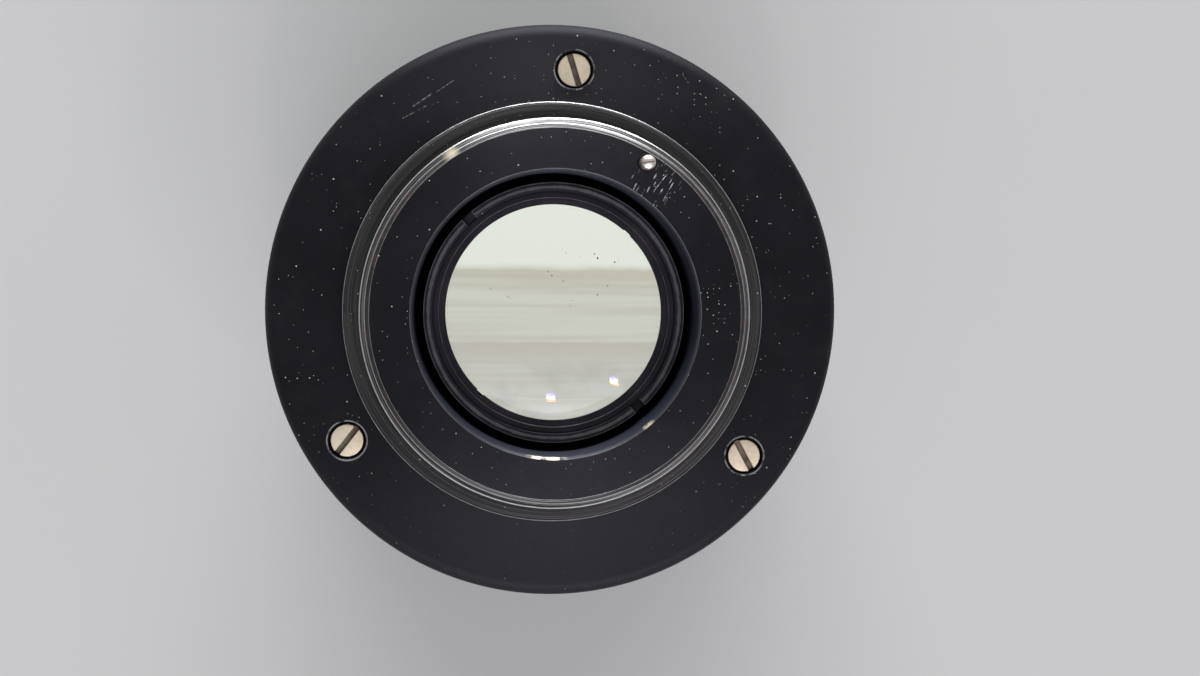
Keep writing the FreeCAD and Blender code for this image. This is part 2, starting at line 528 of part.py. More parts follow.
def straight_keys():
    keys, screws = [], []
    for name, turn in key_turns.items():
        bar = block("KeyBar" + name, "key_outer - key_inner", "key_width",
                    "key_foot_front + key_foot_height - key_front", "key_inner", turn, "key_front")
        foot = block("KeyFoot" + name, "barrel_rear_bore - key_inner - key_foot_gap", "key_width",
                     "key_foot_height", "key_inner", turn, "key_foot_front")
        hole = rod("KeyTap" + name, "key_screw_radius", "barrel_rear_bore - key_outer + 2 * key_tap_past",
                   "key_outer - key_tap_past", turn, "key_foot_middle", 90)
        keys.append(cut("StraightKey" + name, joined("KeyBlank" + name, [bar, foot]), [hole]))
        screws.append(rod("KeyScrew" + name, "key_screw_radius",
                          "barrel_rear_radius - key_outer - key_screw_sink", "key_outer", turn,
                          "key_foot_middle", 90))
    keep(group("StraightKeys", keys), "straight_keys")
    keep(group("KeyScrews", screws), "key_screws")
    keep(rod("FocusStopScrew", "stop_screw_radius",
             "barrel_radius - stop_ring_radius + stop_screw_reach - stop_screw_sink",
             "stop_ring_radius - stop_screw_reach", "stop_screw_turn", "stop_screw_height", 90),
         "focus_stop_screw")


def click_stop():
    ball = doc.addObject("Part::Sphere", "ClickBall")
    bind(ball, Radius="click_ball_radius")
    put(ball, "barrel_rear_radius - click_ball_radius + click_ball_stand", "click_turn", "click_height")
    keep(ball, "click_ball")
    spring = doc.addObject("Part::Feature", "ClickSpring")
    spring.Shape = coil_shape(number("click_spring_radius"), number("click_spring_length"),
                              int(number("click_spring_turns")))
    start = number("barrel_rear_radius - click_hole_depth + spring_wire")
    turn = number("click_turn")
    lay = FreeCAD.Rotation(FreeCAD.Vector(0, 0, 1), turn) * FreeCAD.Rotation(FreeCAD.Vector(0, 1, 0), 90)
    place = FreeCAD.Vector(start * math.cos(math.radians(turn)), start * math.sin(math.radians(turn)),
                           number("click_height"))
    spring.Placement = FreeCAD.Placement(place, lay)
    keep(spring, "click_spring")


# Aperture ring with its inner preset ring

def aperture_ring():
    body = turned("ApertureTurning", [
        ("barrel_rear_radius + running_gap", "aperture_ring_front"),
        ("aperture_ring_radius - aperture_bevel", "aperture_ring_front"),
        ("aperture_ring_radius", "aperture_ring_front + aperture_bevel_length"),
        ("aperture_ring_radius", "aperture_ring_rear - aperture_edge"),
        ("aperture_ring_radius - aperture_edge", "aperture_ring_rear"),
        ("barrel_rear_radius + running_gap", "aperture_ring_rear"),
    ])
    round_grooves(body, "ApertureRing", "aperture_ring_radius", "aperture_groove_depth",
                  "aperture_groove_width",
                  "aperture_ring_rear - aperture_grip_length - aperture_setback", "aperture_grip_length",
                  "aperture_rib_count")
    tools = [rod("PresetTap", "preset_screw_radius", "aperture_ring_radius - barrel_rear_bore + cut_past",
                 "barrel_rear_bore", "preset_screw_turn", "preset_middle", 90)]
    for step in range(int(number("click_count"))):
        turn = "(click_turn - %d * aperture_turn / (click_count - 1))" % step
        tools.append(rod("ClickGroove%d" % step, "click_groove_radius", "click_groove_length",
                         "barrel_rear_radius + running_gap + click_groove_shift", turn,
                         "click_height - click_groove_length / 2"))
    keep(cut("ApertureRing", body, tools), "aperture_ring")

    ring = tube("PresetTurning", "preset_inner", "preset_radius", "preset_front", "preset_rear")
    finger = block("PresetFinger", "preset_inner - preset_finger_inner + finger_root", "preset_finger_width",
                   "preset_height", "preset_finger_inner", "preset_turn", "preset_front")
    hole = rod("PresetHole", "preset_screw_radius", "preset_radius - preset_inner + 2 * cut_past",
               "preset_inner - cut_past", "preset_screw_turn", "preset_middle", 90)
    keep(cut("PresetRing", joined("PresetBlank", [ring, finger]), [hole]), "preset_ring")
    keep(rod("PresetScrew", "preset_screw_radius",
             "aperture_ring_radius - preset_inner - 2 * preset_screw_sink",
             "preset_inner + preset_screw_sink", "preset_screw_turn", "preset_middle", 90), "preset_screw")


# Focusing ring, its threaded nut and stops

def grub_rods(name, length):
    """Three rods where the grub screws join the nut to the focusing ring."""
    turns = {"A": "grub_turn", "B": "(grub_turn + 120)", "C": "(grub_turn + 240)"}
    return [rod(name + key, "grub_radius", length, "grub_seat", turn, "nut_front + nut_flange_thick / 2", 90)
            for key, turn in turns.items()]


def focus_parts():
    blank = turned("FocusTurning", [
        ("nut_flange_radius", "nut_front"),
        ("nut_flange_radius", "nut_front + nut_flange_thick"),
        ("barrel_radius + ring_gap", "nut_front + nut_flange_thick"),
        ("barrel_radius + ring_gap", "focus_ring_rear"),
        ("focus_ring_radius - focus_band_step - band_bevel", "focus_ring_rear"),
        ("focus_ring_radius - focus_band_step", "focus_ring_rear - band_bevel_length"),
        ("focus_ring_radius - focus_band_step", "focus_grip_end + focus_band_step"),
        ("focus_ring_radius", "focus_grip_end"),
        ("focus_ring_radius", "focus_ring_front + focus_edge"),
        ("focus_ring_radius - focus_edge", "focus_ring_front"),
        ("filter_ring_radius + ring_gap", "focus_ring_front"),
        ("filter_ring_radius + ring_gap", "nut_front"),
    ])
    round_grooves(blank, "FocusRing", "focus_ring_radius", "focus_grip_depth", "focus_groove_width",
                  "focus_grip_start", "focus_grip_length", "focus_rib_count")
    keep(cut("FocusRing", blank, grub_rods("GrubHole", "focus_ring_radius - grub_seat + cut_past")),
         "focus_ring")
    nut = turned("NutTurning", [
        ("nut_bore", "nut_front"),
        ("nut_flange_radius", "nut_front"),
        ("nut_flange_radius", "nut_front + nut_flange_thick"),
        ("nut_radius", "nut_front + nut_flange_thick"),
        ("nut_radius", "nut_rear"),
        ("nut_neck_radius", "nut_rear"),
        ("nut_neck_radius", "nut_rear + nut_neck_length"),
        ("nut_bore", "nut_rear + nut_neck_length"),
    ])
    keep(cut("FocusHelicoid", nut, grub_rods("GrubTap", "grub_depth + cut_past")), "focus_helicoid")
    keep(group("FocusGrubScrews", grub_rods("Grub", "grub_length")), "focus_grub_screws")

    lock = tube("LockTurning", "nut_neck_radius", "stop_ring_radius", "stop_ring_front", "stop_ring_rear")
    lug = sector("StopLug", "nut_neck_radius", "stop_ring_radius", "stop_ring_front",
                 "stop_ring_thick + stop_lug_height", "stop_lug_start", "stop_lug_span")
    keep(joined("HelicoidLockRing", [lock, lug]), "helicoid_lock_ring")


# Front of the optical unit

def front_rings():
    keep(turned("FilterRing", [
        ("filter_thread_radius", "filter_lead"),
        ("filter_thread_radius + filter_lead", "0"),
        ("filter_ring_radius - filter_edge", "0"),
        ("filter_ring_radius", "filter_edge"),
        ("filter_ring_radius", "filter_ring_length"),
        ("collar_radius", "filter_ring_length"),
        ("collar_radius", "filter_thread_depth"),
        ("name_ring_radius + running_gap", "filter_thread_depth"),
        ("name_ring_radius + running_gap", "filter_thread_length + filter_relief_length"),
        ("filter_thread_radius + filter_relief", "filter_thread_length + filter_relief_length"),
        ("filter_thread_radius + filter_relief", "filter_thread_length"),
        ("filter_thread_radius", "filter_thread_length"),
    ]), "filter_ring")
    lip_front = "filter_thread_depth - name_ring_edge + name_ring_dish"
    keep(turned("NameRing", [
        ("name_ring_bore", lip_front),
        ("name_ring_radius", "filter_thread_depth - name_ring_edge"),
        ("name_ring_radius", "filter_thread_depth"),
        ("collar_radius", "filter_thread_depth"),
        ("name_ring_bore", lip_front + " + name_ring_lip"),
    ]), "name_ring")


def optical_barrel():
    flange_rear = "front_cell_front + front_cell_flange_thick"
    body = turned("OpticalTurning", [
        ("front_cell_flange_radius", "optical_barrel_front"),
        ("collar_radius", "optical_barrel_front"),
        ("collar_radius", "filter_ring_length"),
        ("helicoid_radius", "filter_ring_length"),
        ("helicoid_radius", "helicoid_rear"),
        ("rear_tube_radius", "helicoid_rear"),
        ("rear_tube_radius", "tube_rear"),
        ("rear_cell_thread", "tube_rear"),
        ("rear_cell_thread", "rear_cell_front"),
        ("iris_wall_radius", "rear_cell_front"),
        ("iris_wall_radius", "iris_cover_front"),
        ("front_cell_radius", "iris_cover_front"),
        ("front_cell_radius", flange_rear),
        ("front_cell_flange_radius", flange_rear),
    ])
    tools = [block("KeyGroove" + name, "helicoid_radius - key_inner + cut_past",
                   "key_width + 2 * key_clearance", "helicoid_rear - key_front + key_groove_run + cut_past",
                   "key_inner - key_clearance", turn, "key_front - key_groove_run")
             for name, turn in key_turns.items()]
    tools.append(tail_window("BarrelWindow", "rear_tube_radius"))
    keep(cut("OpticalBarrel", body, tools), "optical_barrel")


def tail_window(name, wall):
    """The opening that the tail of the drive ring swings in."""
    return sector(name, "iris_inner_radius - cut_past", wall + " + cut_past", "drive_front - window_gap",
                  "drive_ring_thick + 2 * window_gap", "(crank_turn - window_lead)",
                  "drive_turn + window_tail")


def front_cell():
    flange_rear = "front_cell_front + front_cell_flange_thick"
    keep(turned("FrontCell", [
        ("front_ring_radius", "front_cell_front"),
        ("front_cell_flange_radius", "front_cell_front"),
        ("front_cell_flange_radius", flange_rear),
        ("front_cell_radius", flange_rear),
        ("front_cell_radius", "front_cell_rear"),
        ("glass_two_radius - glass_seat", "front_cell_rear"),
        ("glass_two_radius - glass_seat", "rim_five"),
        ("glass_two_radius", "rim_five"),
        ("glass_two_radius", "edge_three"),
        ("doublet_ring_radius", "edge_three"),
        ("doublet_ring_radius", "edge_two"),
        ("glass_one_radius", "edge_two"),
        ("glass_one_radius", "edge_one"),
        ("front_ring_radius", "edge_one"),
    ]), "front_cell")
    keep(turned("FrontRetainingRing", [
        ("front_ring_bore", "ring_one_seat"),
        ("front_ring_bore + retainer_bevel", "front_cell_front"),
        ("front_ring_radius", "front_cell_front"),
        ("front_ring_radius", "ring_one_seat"),
    ]), "front_retaining_ring")
    keep(turned("FrontDoubletRing", [
        ("doublet_ring_bore", "ring_two_seat"),
        ("doublet_ring_bore + retainer_bevel", "ring_two_seat - doublet_ring_height"),
        ("doublet_ring_radius", "ring_two_seat - doublet_ring_height"),
        ("doublet_ring_radius", "ring_two_seat"),
    ]), "front_doublet_ring")


# Six glass elements in four groups, each with the curves of its two faces

def glass():
    keep(turned("FrontMeniscus", [
        ("0", "front_glass_place"),
        ("glass_one_radius", "edge_one", "curve_one"),
        ("glass_one_radius", "edge_two"),
        ("0", "glass_one_rear", "-curve_two"),
    ]), "front_meniscus")
    keep(turned("FrontDoubletOuter", [
        ("0", "glass_two_front"),
        ("glass_two_radius", "edge_three", "curve_three"),
        ("glass_two_radius", "cement_one"),
        ("0", "cement_one"),
    ]), "front_doublet_outer")
    keep(turned("FrontDoubletInner", [
        ("0", "cement_one"),
        ("glass_two_radius", "cement_one"),
        ("glass_two_radius", "rim_five"),
        ("hollow_five", "rim_five"),
        ("0", "glass_three_rear", "-curve_five"),
    ]), "front_doublet_inner")
    keep(turned("RearDoubletInner", [
        ("0", "glass_four_front"),
        ("hollow_seven", "rim_seven", "-curve_seven"),
        ("glass_four_radius", "rim_seven"),
        ("glass_four_radius", "cement_two"),
        ("0", "cement_two"),
    ]), "rear_doublet_inner")
    keep(turned("RearDoubletOuter", [
        ("0", "cement_two"),
        ("glass_four_radius", "cement_two"),
        ("glass_four_radius", "edge_nine"),
        ("0", "glass_five_rear", "curve_nine"),
    ]), "rear_doublet_outer")
    keep(turned("RearBiconvex", [
        ("0", "glass_six_front"),
        ("glass_six_radius", "edge_ten", "curve_ten"),
        ("glass_six_radius", "edge_eleven"),
        ("0", "glass_six_rear", "curve_eleven"),
    ]), "rear_biconvex")


# Iris: housing, cover, drive ring and six blades, each blade on a level of its own

blade_count = int(number("blade_count"))
blade_turns = ["(blade_start + %d * 360 / blade_count)" % index for index in range(blade_count)]


def iris_housing():
    body = turned("HousingTurning", [
        ("iris_inner_radius", "iris_cover_rear"),
        ("iris_wall_radius", "iris_cover_rear"),
        ("iris_wall_radius", "iris_plate_rear"),
        ("iris_plate_bore", "iris_plate_rear"),
        ("iris_plate_bore", "iris_plate_front"),
        ("iris_inner_radius", "iris_plate_front"),
    ])
    tools = [tail_window("HousingWindow", "iris_wall_radius")]
    for index, turn in enumerate(blade_turns):
        tools.append(rod("PivotHole%d" % (index + 1), "blade_pin_radius + running_gap",
                         "iris_plate_thick + 2 * cut_past", "blade_pin_place", turn,
                         "iris_plate_front - cut_past"))
    keep(cut("IrisHousing", body, tools), "iris_housing")
    keep(tube("IrisCover", "drive_ring_bore", "iris_wall_radius", "iris_cover_front", "iris_cover_rear"),
         "iris_cover")


def drive_pin_at(share, start):
    """Where a blade's drive pin stands in the drive ring when the blade has swung by a share."""
    place = number("blade_pin_place")
    swing = math.radians(number("blade_swing")) * share
    lead = math.radians(number("blade_drive_turn"))
    arm = (place * math.cos(lead) - place, place * math.sin(lead))
    x = place + arm[0] * math.cos(swing) - arm[1] * math.sin(swing)
    y = arm[0] * math.sin(swing) + arm[1] * math.cos(swing)
    turn = math.radians(start - number("drive_turn") * share)
    return FreeCAD.Vector(x * math.cos(turn) - y * math.sin(turn), x * math.sin(turn) + y * math.cos(turn),
                          number("drive_front - cut_past"))


def iris_drive_ring():
    ring = tube("DriveTurning", "drive_ring_bore", "iris_inner_radius - touch_gap", "drive_front",
                "drive_rear")
    lug = block("DriveLug", "tail_outer - iris_inner_radius + lug_root", "tail_width", "drive_ring_thick",
                "iris_inner_radius - lug_root", "crank_turn", "drive_front", "tail_side + tail_width / 2")
    tail = block("DriveTail", "tail_outer - tail_inner", "tail_width", "tail_length", "tail_inner",
                 "crank_turn", "drive_front", "tail_side + tail_width / 2")
    slots = []
    for turn in blade_turns:
        path = Part.Arc(*[drive_pin_at(share, number(turn)) for share in (0, 0.5, 1)]).toShape()
        outline = Part.Wire([path]).makeOffset2D(number("blade_pin_radius + slot_clearance"))
        through = FreeCAD.Vector(0, 0, number("drive_ring_thick + 2 * cut_past"))
        slots.append(Part.Face(outline).extrude(through))
    cutters = doc.addObject("Part::Feature", "DriveSlots")
    cutters.Shape = Part.makeCompound(slots)
    keep(cut("IrisDriveRing", joined("DriveBlank", [ring, lug, tail]), [cutters]), "iris_drive_ring")


def iris_blade(index):
    name = "IrisBlade%d" % (index + 1)
    start = blade_turns[index]
    level = "blade_front + %d * blade_pitch" % index
    middle = "(blade_inner + blade_outer) / 2"
    far = "(%s + blade_span)" % start
    lead = "(%s + blade_drive_turn)" % start
    parts = [
        sector(name + "Leaf", "blade_inner", "blade_outer", level, "blade_thick", start, "blade_span"),
        rod(name + "Toe", "(blade_outer - blade_inner) / 2", "blade_thick", middle, start, level),
        rod(name + "Tip", "(blade_outer - blade_inner) / 2", "blade_thick", middle, far, level),
        sector(name + "Ear", "blade_outer - ear_root", "blade_pin_place + blade_ear", level, "blade_thick",
               start, "blade_drive_turn"),
        rod(name + "EarOne", "blade_ear", "blade_thick", "blade_pin_place", start, level),
        rod(name + "EarTwo", "blade_ear", "blade_thick", "blade_pin_place", lead, level),
        rod(name + "Pivot", "blade_pin_radius", "iris_plate_rear - (%s) - touch_gap" % level,
            "blade_pin_place", start, level),
        rod(name + "DrivePin", "blade_pin_radius", "(%s) + blade_thick - drive_front - touch_gap" % level,
            "blade_pin_place", lead, "drive_front + touch_gap"),
    ]
    keep(joined(name, parts), "iris_blade_%d" % (index + 1))


# Rear of the optical unit

def rear_cell():
    body = turned("RearCellTurning", [
        ("rear_cell_bore", "rear_cell_front"),
        ("rear_cell_thread", "rear_cell_front"),
        ("rear_cell_thread", "tube_rear"),
        ("rear_cell_flange", "tube_rear"),
        ("rear_cell_flange", "tube_rear + rear_cell_flange_thick"),
        ("rear_cell_radius", "tube_rear + rear_cell_flange_thick"),
        ("rear_cell_radius", "rear_cell_rear"),
        ("rear_ring_radius", "rear_cell_rear"),
        ("rear_ring_radius", "edge_eleven"),
        ("glass_six_radius", "edge_eleven"),
        ("glass_six_radius", "edge_nine"),
        ("glass_four_radius", "edge_nine"),
        ("glass_four_radius", "rim_seven"),
        ("rear_cell_bore", "rim_seven"),
    ])
    tools = [block("RimSlot" + name, "rear_cell_radius - rear_ring_radius + 2 * cut_past", "rim_slot_width",
                   "rim_slot_depth + cut_past", "rear_ring_radius - cut_past", turn,
                   "rear_cell_rear - rim_slot_depth")
             for name, turn in (("A", "rim_slot_turn"), ("B", "(rim_slot_turn + 180)"))]
    keep(cut("RearCell", body, tools), "rear_cell")
    keep(tube("RearSpacer", "rear_spacer_bore", "glass_six_radius", "spacer_front", "spacer_rear"),
         "rear_spacer")
    ring = turned("RearRingTurning", [
        ("rear_ring_bore", "ring_six_seat"),
        ("rear_ring_radius", "ring_six_seat"),
        ("rear_ring_radius", "ring_six_seat + rear_ring_height"),
        ("rear_ring_bore + rear_ring_step", "ring_six_seat + rear_ring_height"),
        ("rear_ring_bore + rear_ring_step", "ring_six_seat + rear_ring_height / 2"),
        ("rear_ring_bore", "ring_six_seat + rear_ring_height / 2"),
    ])
    notches = [block("RingNotch" + name, "cut_past + notch_depth", "notch_width",
                     "rear_ring_height + 2 * cut_past", "rear_ring_bore - cut_past", turn,
                     "ring_six_seat - cut_past")
               for name, turn in (("A", "notch_turn"), ("B", "(notch_turn + 180)"))]
    keep(cut("RearRetainingRing", ring, notches), "rear_retaining_ring")


# Stop-down pin, its bracket, spring and crank

def stop_down():
    pin = turned("StopDownPin", [
        ("0", "pin_bottom"),
        ("pin_radius", "pin_bottom + pin_dome_height", "pin_dome"),
        ("pin_radius", "collar_front"),
        ("pin_collar_radius", "collar_front"),
        ("pin_collar_radius", "collar_rear"),
        ("pin_radius", "collar_rear"),
        ("pin_radius", "pin_top - pin_dome_height"),
        ("0", "pin_top", "pin_dome"),
    ])
    keep(put(pin, "pin_place", "pin_turn", "0"), "stop_down_pin")

    spring = doc.addObject("Part::Feature", "PinSpring")
    length = number("collar_front - flange_under - 2 * (spring_wire + spring_seat)")
    spring.Shape = coil_shape(number("spring_radius"), length, int(number("spring_turns")))
    keep(put(spring, "pin_place", "pin_turn", "flange_under + spring_wire + spring_seat"), "pin_spring")

    plate = sector("BracketPlate", "bracket_inner", "bracket_outer", "bracket_front", "bracket_thick",
                   "(crank_turn - bracket_span / 2)", "bracket_span")
    ear = block("BracketEar", "bracket_ear_thick", "bracket_ear_width",
                "bracket_front - crank_place + bracket_ear_width / 2 + bracket_thick / 2",
                "crank_side + crank_thick + touch_gap", "crank_turn", "crank_place - bracket_ear_width / 2")
    through = "bracket_thick + 2 * cut_past"
    holes = [rod("BracketPinHole", "pin_radius + running_gap", through, "pin_place", "pin_turn",
                 "bracket_front - cut_past"),
             rod("BracketPivotHole", "crank_pin_radius", "bracket_ear_thick + 2 * cut_past",
                 "crank_side + crank_thick + touch_gap - cut_past", "crank_turn", "crank_place", 90)]
    screws = []
    for name, turn in bracket_screw_turns.items():
        holes.append(rod("BracketHole" + name, "bracket_screw_radius", through, "bracket_screw_place", turn,
                         "bracket_front - cut_past"))
        shank = rod("BracketShank" + name, "bracket_screw_radius",
                    "bracket_head_height + bracket_thick + bracket_thread", "bracket_screw_place", turn,
                    "bracket_front - bracket_head_height")
        head = rod("BracketHead" + name, "bracket_head_radius", "bracket_head_height", "bracket_screw_place",
                   turn, "bracket_front - bracket_head_height")
        screws.append(joined("BracketScrew" + name, [shank, head]))
    keep(cut("PinBracket", joined("BracketBlank", [plate, ear]), holes), "pin_bracket")
    keep(group("BracketScrews", screws), "bracket_screws")


def crank():
    hub = rod("CrankHub", "crank_hub", "crank_thick", "crank_side", "crank_turn", "crank_place", 90)
    width, thick = number("crank_width"), number("crank_thick")
    arms = []
    for reach, lean in ((number("crank_reach"), 90 - number("crank_tilt")),
                        (number("crank_length"), 180)):
        arm = Part.makeBox(thick, width, reach, FreeCAD.Vector(0, -width / 2, 0))
        end = Part.makeCylinder(width / 2, thick, FreeCAD.Vector(0, 0, reach), FreeCAD.Vector(1, 0, 0))
        whole = arm.fuse(end)
        whole.rotate(FreeCAD.Vector(), FreeCAD.Vector(1, 0, 0), lean)
        arms.append(whole)
    lever = doc.addObject("Part::Feature", "CrankArms")
    lever.Shape = arms[0].fuse(arms[1])
    put(lever, "crank_side", "crank_turn", "crank_place")
    bore = rod("CrankBore", "crank_pin_radius + running_gap", "crank_thick + 2 * cut_past",
               "crank_side - cut_past", "crank_turn", "crank_place", 90)
    keep(cut("StopDownCrank", joined("CrankBlank", [hub, lever]), [bore]), "stop_down_crank")
    keep(rod("CrankPivot", "crank_pin_radius",
             "crank_thick + touch_gap + bracket_ear_thick + 2 * crank_pin_end",
             "crank_side - crank_pin_end", "crank_turn", "crank_place", 90), "crank_pivot")


mount_plate()
mount_screws()
stop_down()
crank()
fixed_barrel()
depth_scale_ring()
straight_keys()
click_stop()
aperture_ring()
focus_parts()
front_rings()
optical_barrel()
front_cell()
glass()
iris_housing()
iris_drive_ring()
for index in range(blade_count):
    iris_blade(index)
rear_cell()
doc.recompute()

for thing in doc.Objects:
    if any(word in thing.State for word in ("Invalid", "Error")):
        raise RuntimeError("%s did not rebuild: %s" % (thing.Label, thing.State))
os.makedirs("parts", exist_ok=True)
for label, thing in nodes.items():
    shape = thing.Shape
    if shape.isNull() or not shape.isValid() or not shape.Solids:
        raise RuntimeError("%s has no valid solid" % label)
    shape.exportStep("parts/%s.step" % label)
print("%d pieces written" % len(nodes))
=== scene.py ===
import math
import bmesh
import bpy
from mathutils import Matrix, Vector


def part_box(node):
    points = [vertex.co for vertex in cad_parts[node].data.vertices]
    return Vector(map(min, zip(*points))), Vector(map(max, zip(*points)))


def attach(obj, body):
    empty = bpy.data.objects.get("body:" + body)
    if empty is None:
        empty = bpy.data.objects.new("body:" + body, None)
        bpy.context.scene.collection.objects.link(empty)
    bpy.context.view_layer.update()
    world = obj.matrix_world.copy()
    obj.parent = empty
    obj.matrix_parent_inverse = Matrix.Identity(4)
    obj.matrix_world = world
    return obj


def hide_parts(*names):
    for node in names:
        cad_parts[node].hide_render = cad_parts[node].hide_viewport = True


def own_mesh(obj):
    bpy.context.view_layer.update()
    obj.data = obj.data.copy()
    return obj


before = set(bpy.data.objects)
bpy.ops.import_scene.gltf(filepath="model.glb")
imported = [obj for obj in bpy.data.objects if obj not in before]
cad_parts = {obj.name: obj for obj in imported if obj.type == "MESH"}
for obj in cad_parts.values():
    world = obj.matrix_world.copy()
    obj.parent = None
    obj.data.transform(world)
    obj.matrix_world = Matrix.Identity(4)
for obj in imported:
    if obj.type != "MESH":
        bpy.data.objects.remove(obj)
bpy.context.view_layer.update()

mm = 0.001


# sizes that the frame gives, in millimetres

def lowest(node):
    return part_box(node)[0][2] / mm


def highest(node):
    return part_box(node)[1][2] / mm


def outer(node):
    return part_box(node)[1][0] / mm


def spot(place, turn, height=0.0):
    turn = math.radians(turn)
    return Vector((place * math.cos(turn), place * math.sin(turn), height))


# shader sockets as numbers in an expression

class Signal:
    def __init__(self, paint, socket):
        self.paint = paint
        self.socket = socket

    def maths(self, operation, *others):
        sockets = {index: other for index, other in enumerate((self,) + others)}
        return self.paint.add("Math", {"operation": operation}, sockets)

    def flipped(self, operation, other):
        return self.paint.add("Math", {"operation": operation}, {0: other, 1: self})

    def __add__(self, other): return self.maths("ADD", other)
    def __radd__(self, other): return self.flipped("ADD", other)
    def __sub__(self, other): return self.maths("SUBTRACT", other)
    def __rsub__(self, other): return self.flipped("SUBTRACT", other)
    def __mul__(self, other): return self.maths("MULTIPLY", other)
    def __rmul__(self, other): return self.flipped("MULTIPLY", other)
    def __truediv__(self, other): return self.maths("DIVIDE", other)
    def __rtruediv__(self, other): return self.flipped("DIVIDE", other)
    def __pow__(self, other): return self.maths("POWER", other)
    def __gt__(self, other): return self.maths("GREATER_THAN", other)
    def __lt__(self, other): return self.maths("LESS_THAN", other)
    def __abs__(self): return self.maths("ABSOLUTE")

    def atLeast(self, other): return self.maths("MAXIMUM", other)
    def atMost(self, other): return self.maths("MINIMUM", other)
    def whole(self): return self.maths("FLOOR")

    def ramped(self, start, end, low=0.0, high=1.0):
        settings = {"interpolation_type": "SMOOTHSTEP"}
        return self.paint.add("MapRange", settings, {0: self, 1: start, 2: end, 3: low, 4: high})


class Paint:
    def __init__(self, name):
        self.material = bpy.data.materials.new(name)
        self.material.use_nodes = True
        self.tree = self.material.node_tree
        self.tree.nodes.clear()

    def add(self, kind, settings=None, sockets=None, out=0):
        node = self.tree.nodes.new("ShaderNode" + kind)
        for key, value in (settings or {}).items():
            if key == "stops":
                while len(node.color_ramp.elements) < len(value):
                    node.color_ramp.elements.new(0.5)
                for element, (place, colour) in zip(node.color_ramp.elements, value):
                    element.position = place
                    element.color = colour
            else:
                setattr(node, key, value)
        for key, value in (sockets or {}).items():
            if isinstance(value, Signal):
                self.tree.links.new(value.socket, node.inputs[key])
            else:
                node.inputs[key].default_value = value
        return Signal(self, node.outputs[out]) if node.outputs else node

    def position(self):
        coords = self.add("TexCoord", out="Object")
        return self.add("VectorMath", {"operation": "SCALE"}, {0: coords, "Scale": 1 / mm})

    def parts(self, vector):
        first = self.add("SeparateXYZ", None, {0: vector})
        return [Signal(self, output) for output in first.socket.node.outputs]

    def joined(self, x, y, z):
        return self.add("CombineXYZ", None, {0: x, 1: y, 2: z})

    def noise(self, vector, scale, detail=3.0, roughness=0.55):
        return self.add("TexNoise", None, {"Vector": vector, "Scale": scale, "Detail": detail,
                                           "Roughness": roughness})

    def blend(self, factor, first, second):
        return self.add("Mix", {"data_type": "RGBA"}, {0: factor, 6: first, 7: second}, out=2)

    def surface(self, **sockets):
        names = {word.replace(" ", ""): word for word in (
            "Base Color", "Metallic", "Roughness", "IOR", "Normal", "Specular IOR Level", "Specular Tint",
            "Transmission Weight", "Anisotropic", "Anisotropic Rotation")}
        given = {names[key[0].upper() + key[1:]]: value for key, value in sockets.items()}
        return self.add("BsdfPrincipled", None, given)

    def done(self, shader):
        self.add("OutputMaterial", None, {"Surface": shader})
        return self.material


def colour(red, green, blue):
    return (red, green, blue, 1.0)


def bump(paint, height, distance):
    return paint.add("Bump", None, {"Height": height, "Distance": distance * mm, "Strength": 1.0})


# specks of dust: round dots in a share of the cells of a pattern

def dust(paint, position, scale, share, size, dimensions="3D"):
    away = paint.add("TexVoronoi", {"feature": "F1", "voronoi_dimensions": dimensions},
                     {"Vector": position, "Scale": scale}, out="Distance")
    tint = Signal(paint, away.socket.node.outputs["Color"])
    chance, spread, _ = paint.parts(tint)
    dot = 1 - (away / (size * (0.45 + spread))).ramped(0.6, 1.0)
    return dot * (chance > 1 - share)


# straight hair lines: thin rows, broken into lengths, a share of which is kept

def hairLines(paint, position, turn, pitch, length, share, width):
    turned = paint.add("VectorRotate", {"rotation_type": "Z_AXIS"},
                       {"Vector": position, "Angle": math.radians(turn)})
    along, across, _ = paint.parts(turned)
    wander = paint.noise(position, 0.35, 1.0) * (1.2 * pitch)
    row = (across + wander) / pitch
    column = along / length + paint.add("TexWhiteNoise", {"noise_dimensions": "1D"}, {"W": row.whole()}) * 9
    dice = paint.add("TexWhiteNoise", {"noise_dimensions": "2D"},
                     {"Vector": paint.joined(row.whole(), column.whole(), 0.0)})
    middle = abs(row - row.whole() - 0.5)
    ends = column - column.whole()
    taper = (ends * (1 - ends) * 4).atMost(1.0)
    line = 1 - (middle / (width / pitch * (0.3 + taper))).ramped(0.5, 1.0)
    return line * (dice > 1 - share)


# marks of the lathe: a bump that changes with the radius and hardly along the circle

def turningMarks(paint, radius, turn, height, fineness=9.0):
    track = paint.joined(radius * fineness, turn * 0.6, height * fineness)
    return paint.noise(track, 1.0, 2.0)


def polar(paint, position):
    x, y, z = paint.parts(position)
    radius = (x * x + y * y) ** 0.5
    return radius, y.maths("ARCTAN2", x), x, y, z


# how near a point lies to a turned edge, for the bright line that wear leaves there

def wornEdge(radius, height, atRadius, atHeight, width, breakUp):
    away = ((radius - atRadius) ** 2.0 + (height - atHeight) ** 2.0) ** 0.5
    return 1 - (away / (width * (0.2 + breakUp * 1.6))).ramped(0.7, 1.15)


# meshes

def newObject(name, mesh):
    piece = bpy.data.objects.new(name, mesh)
    bpy.context.scene.collection.objects.link(piece)
    return piece


def pieceOf(name, mesh, outward=True):
    if outward:
        bmesh.ops.recalc_face_normals(mesh, faces=mesh.faces)
    data = bpy.data.meshes.new(name)
    mesh.to_mesh(data)
    mesh.free()
    return newObject(name, data)


def smoothed(piece, angle=32):
    piece.data.shade_smooth()
    piece.data.set_sharp_from_angle(angle=math.radians(angle))
    return piece


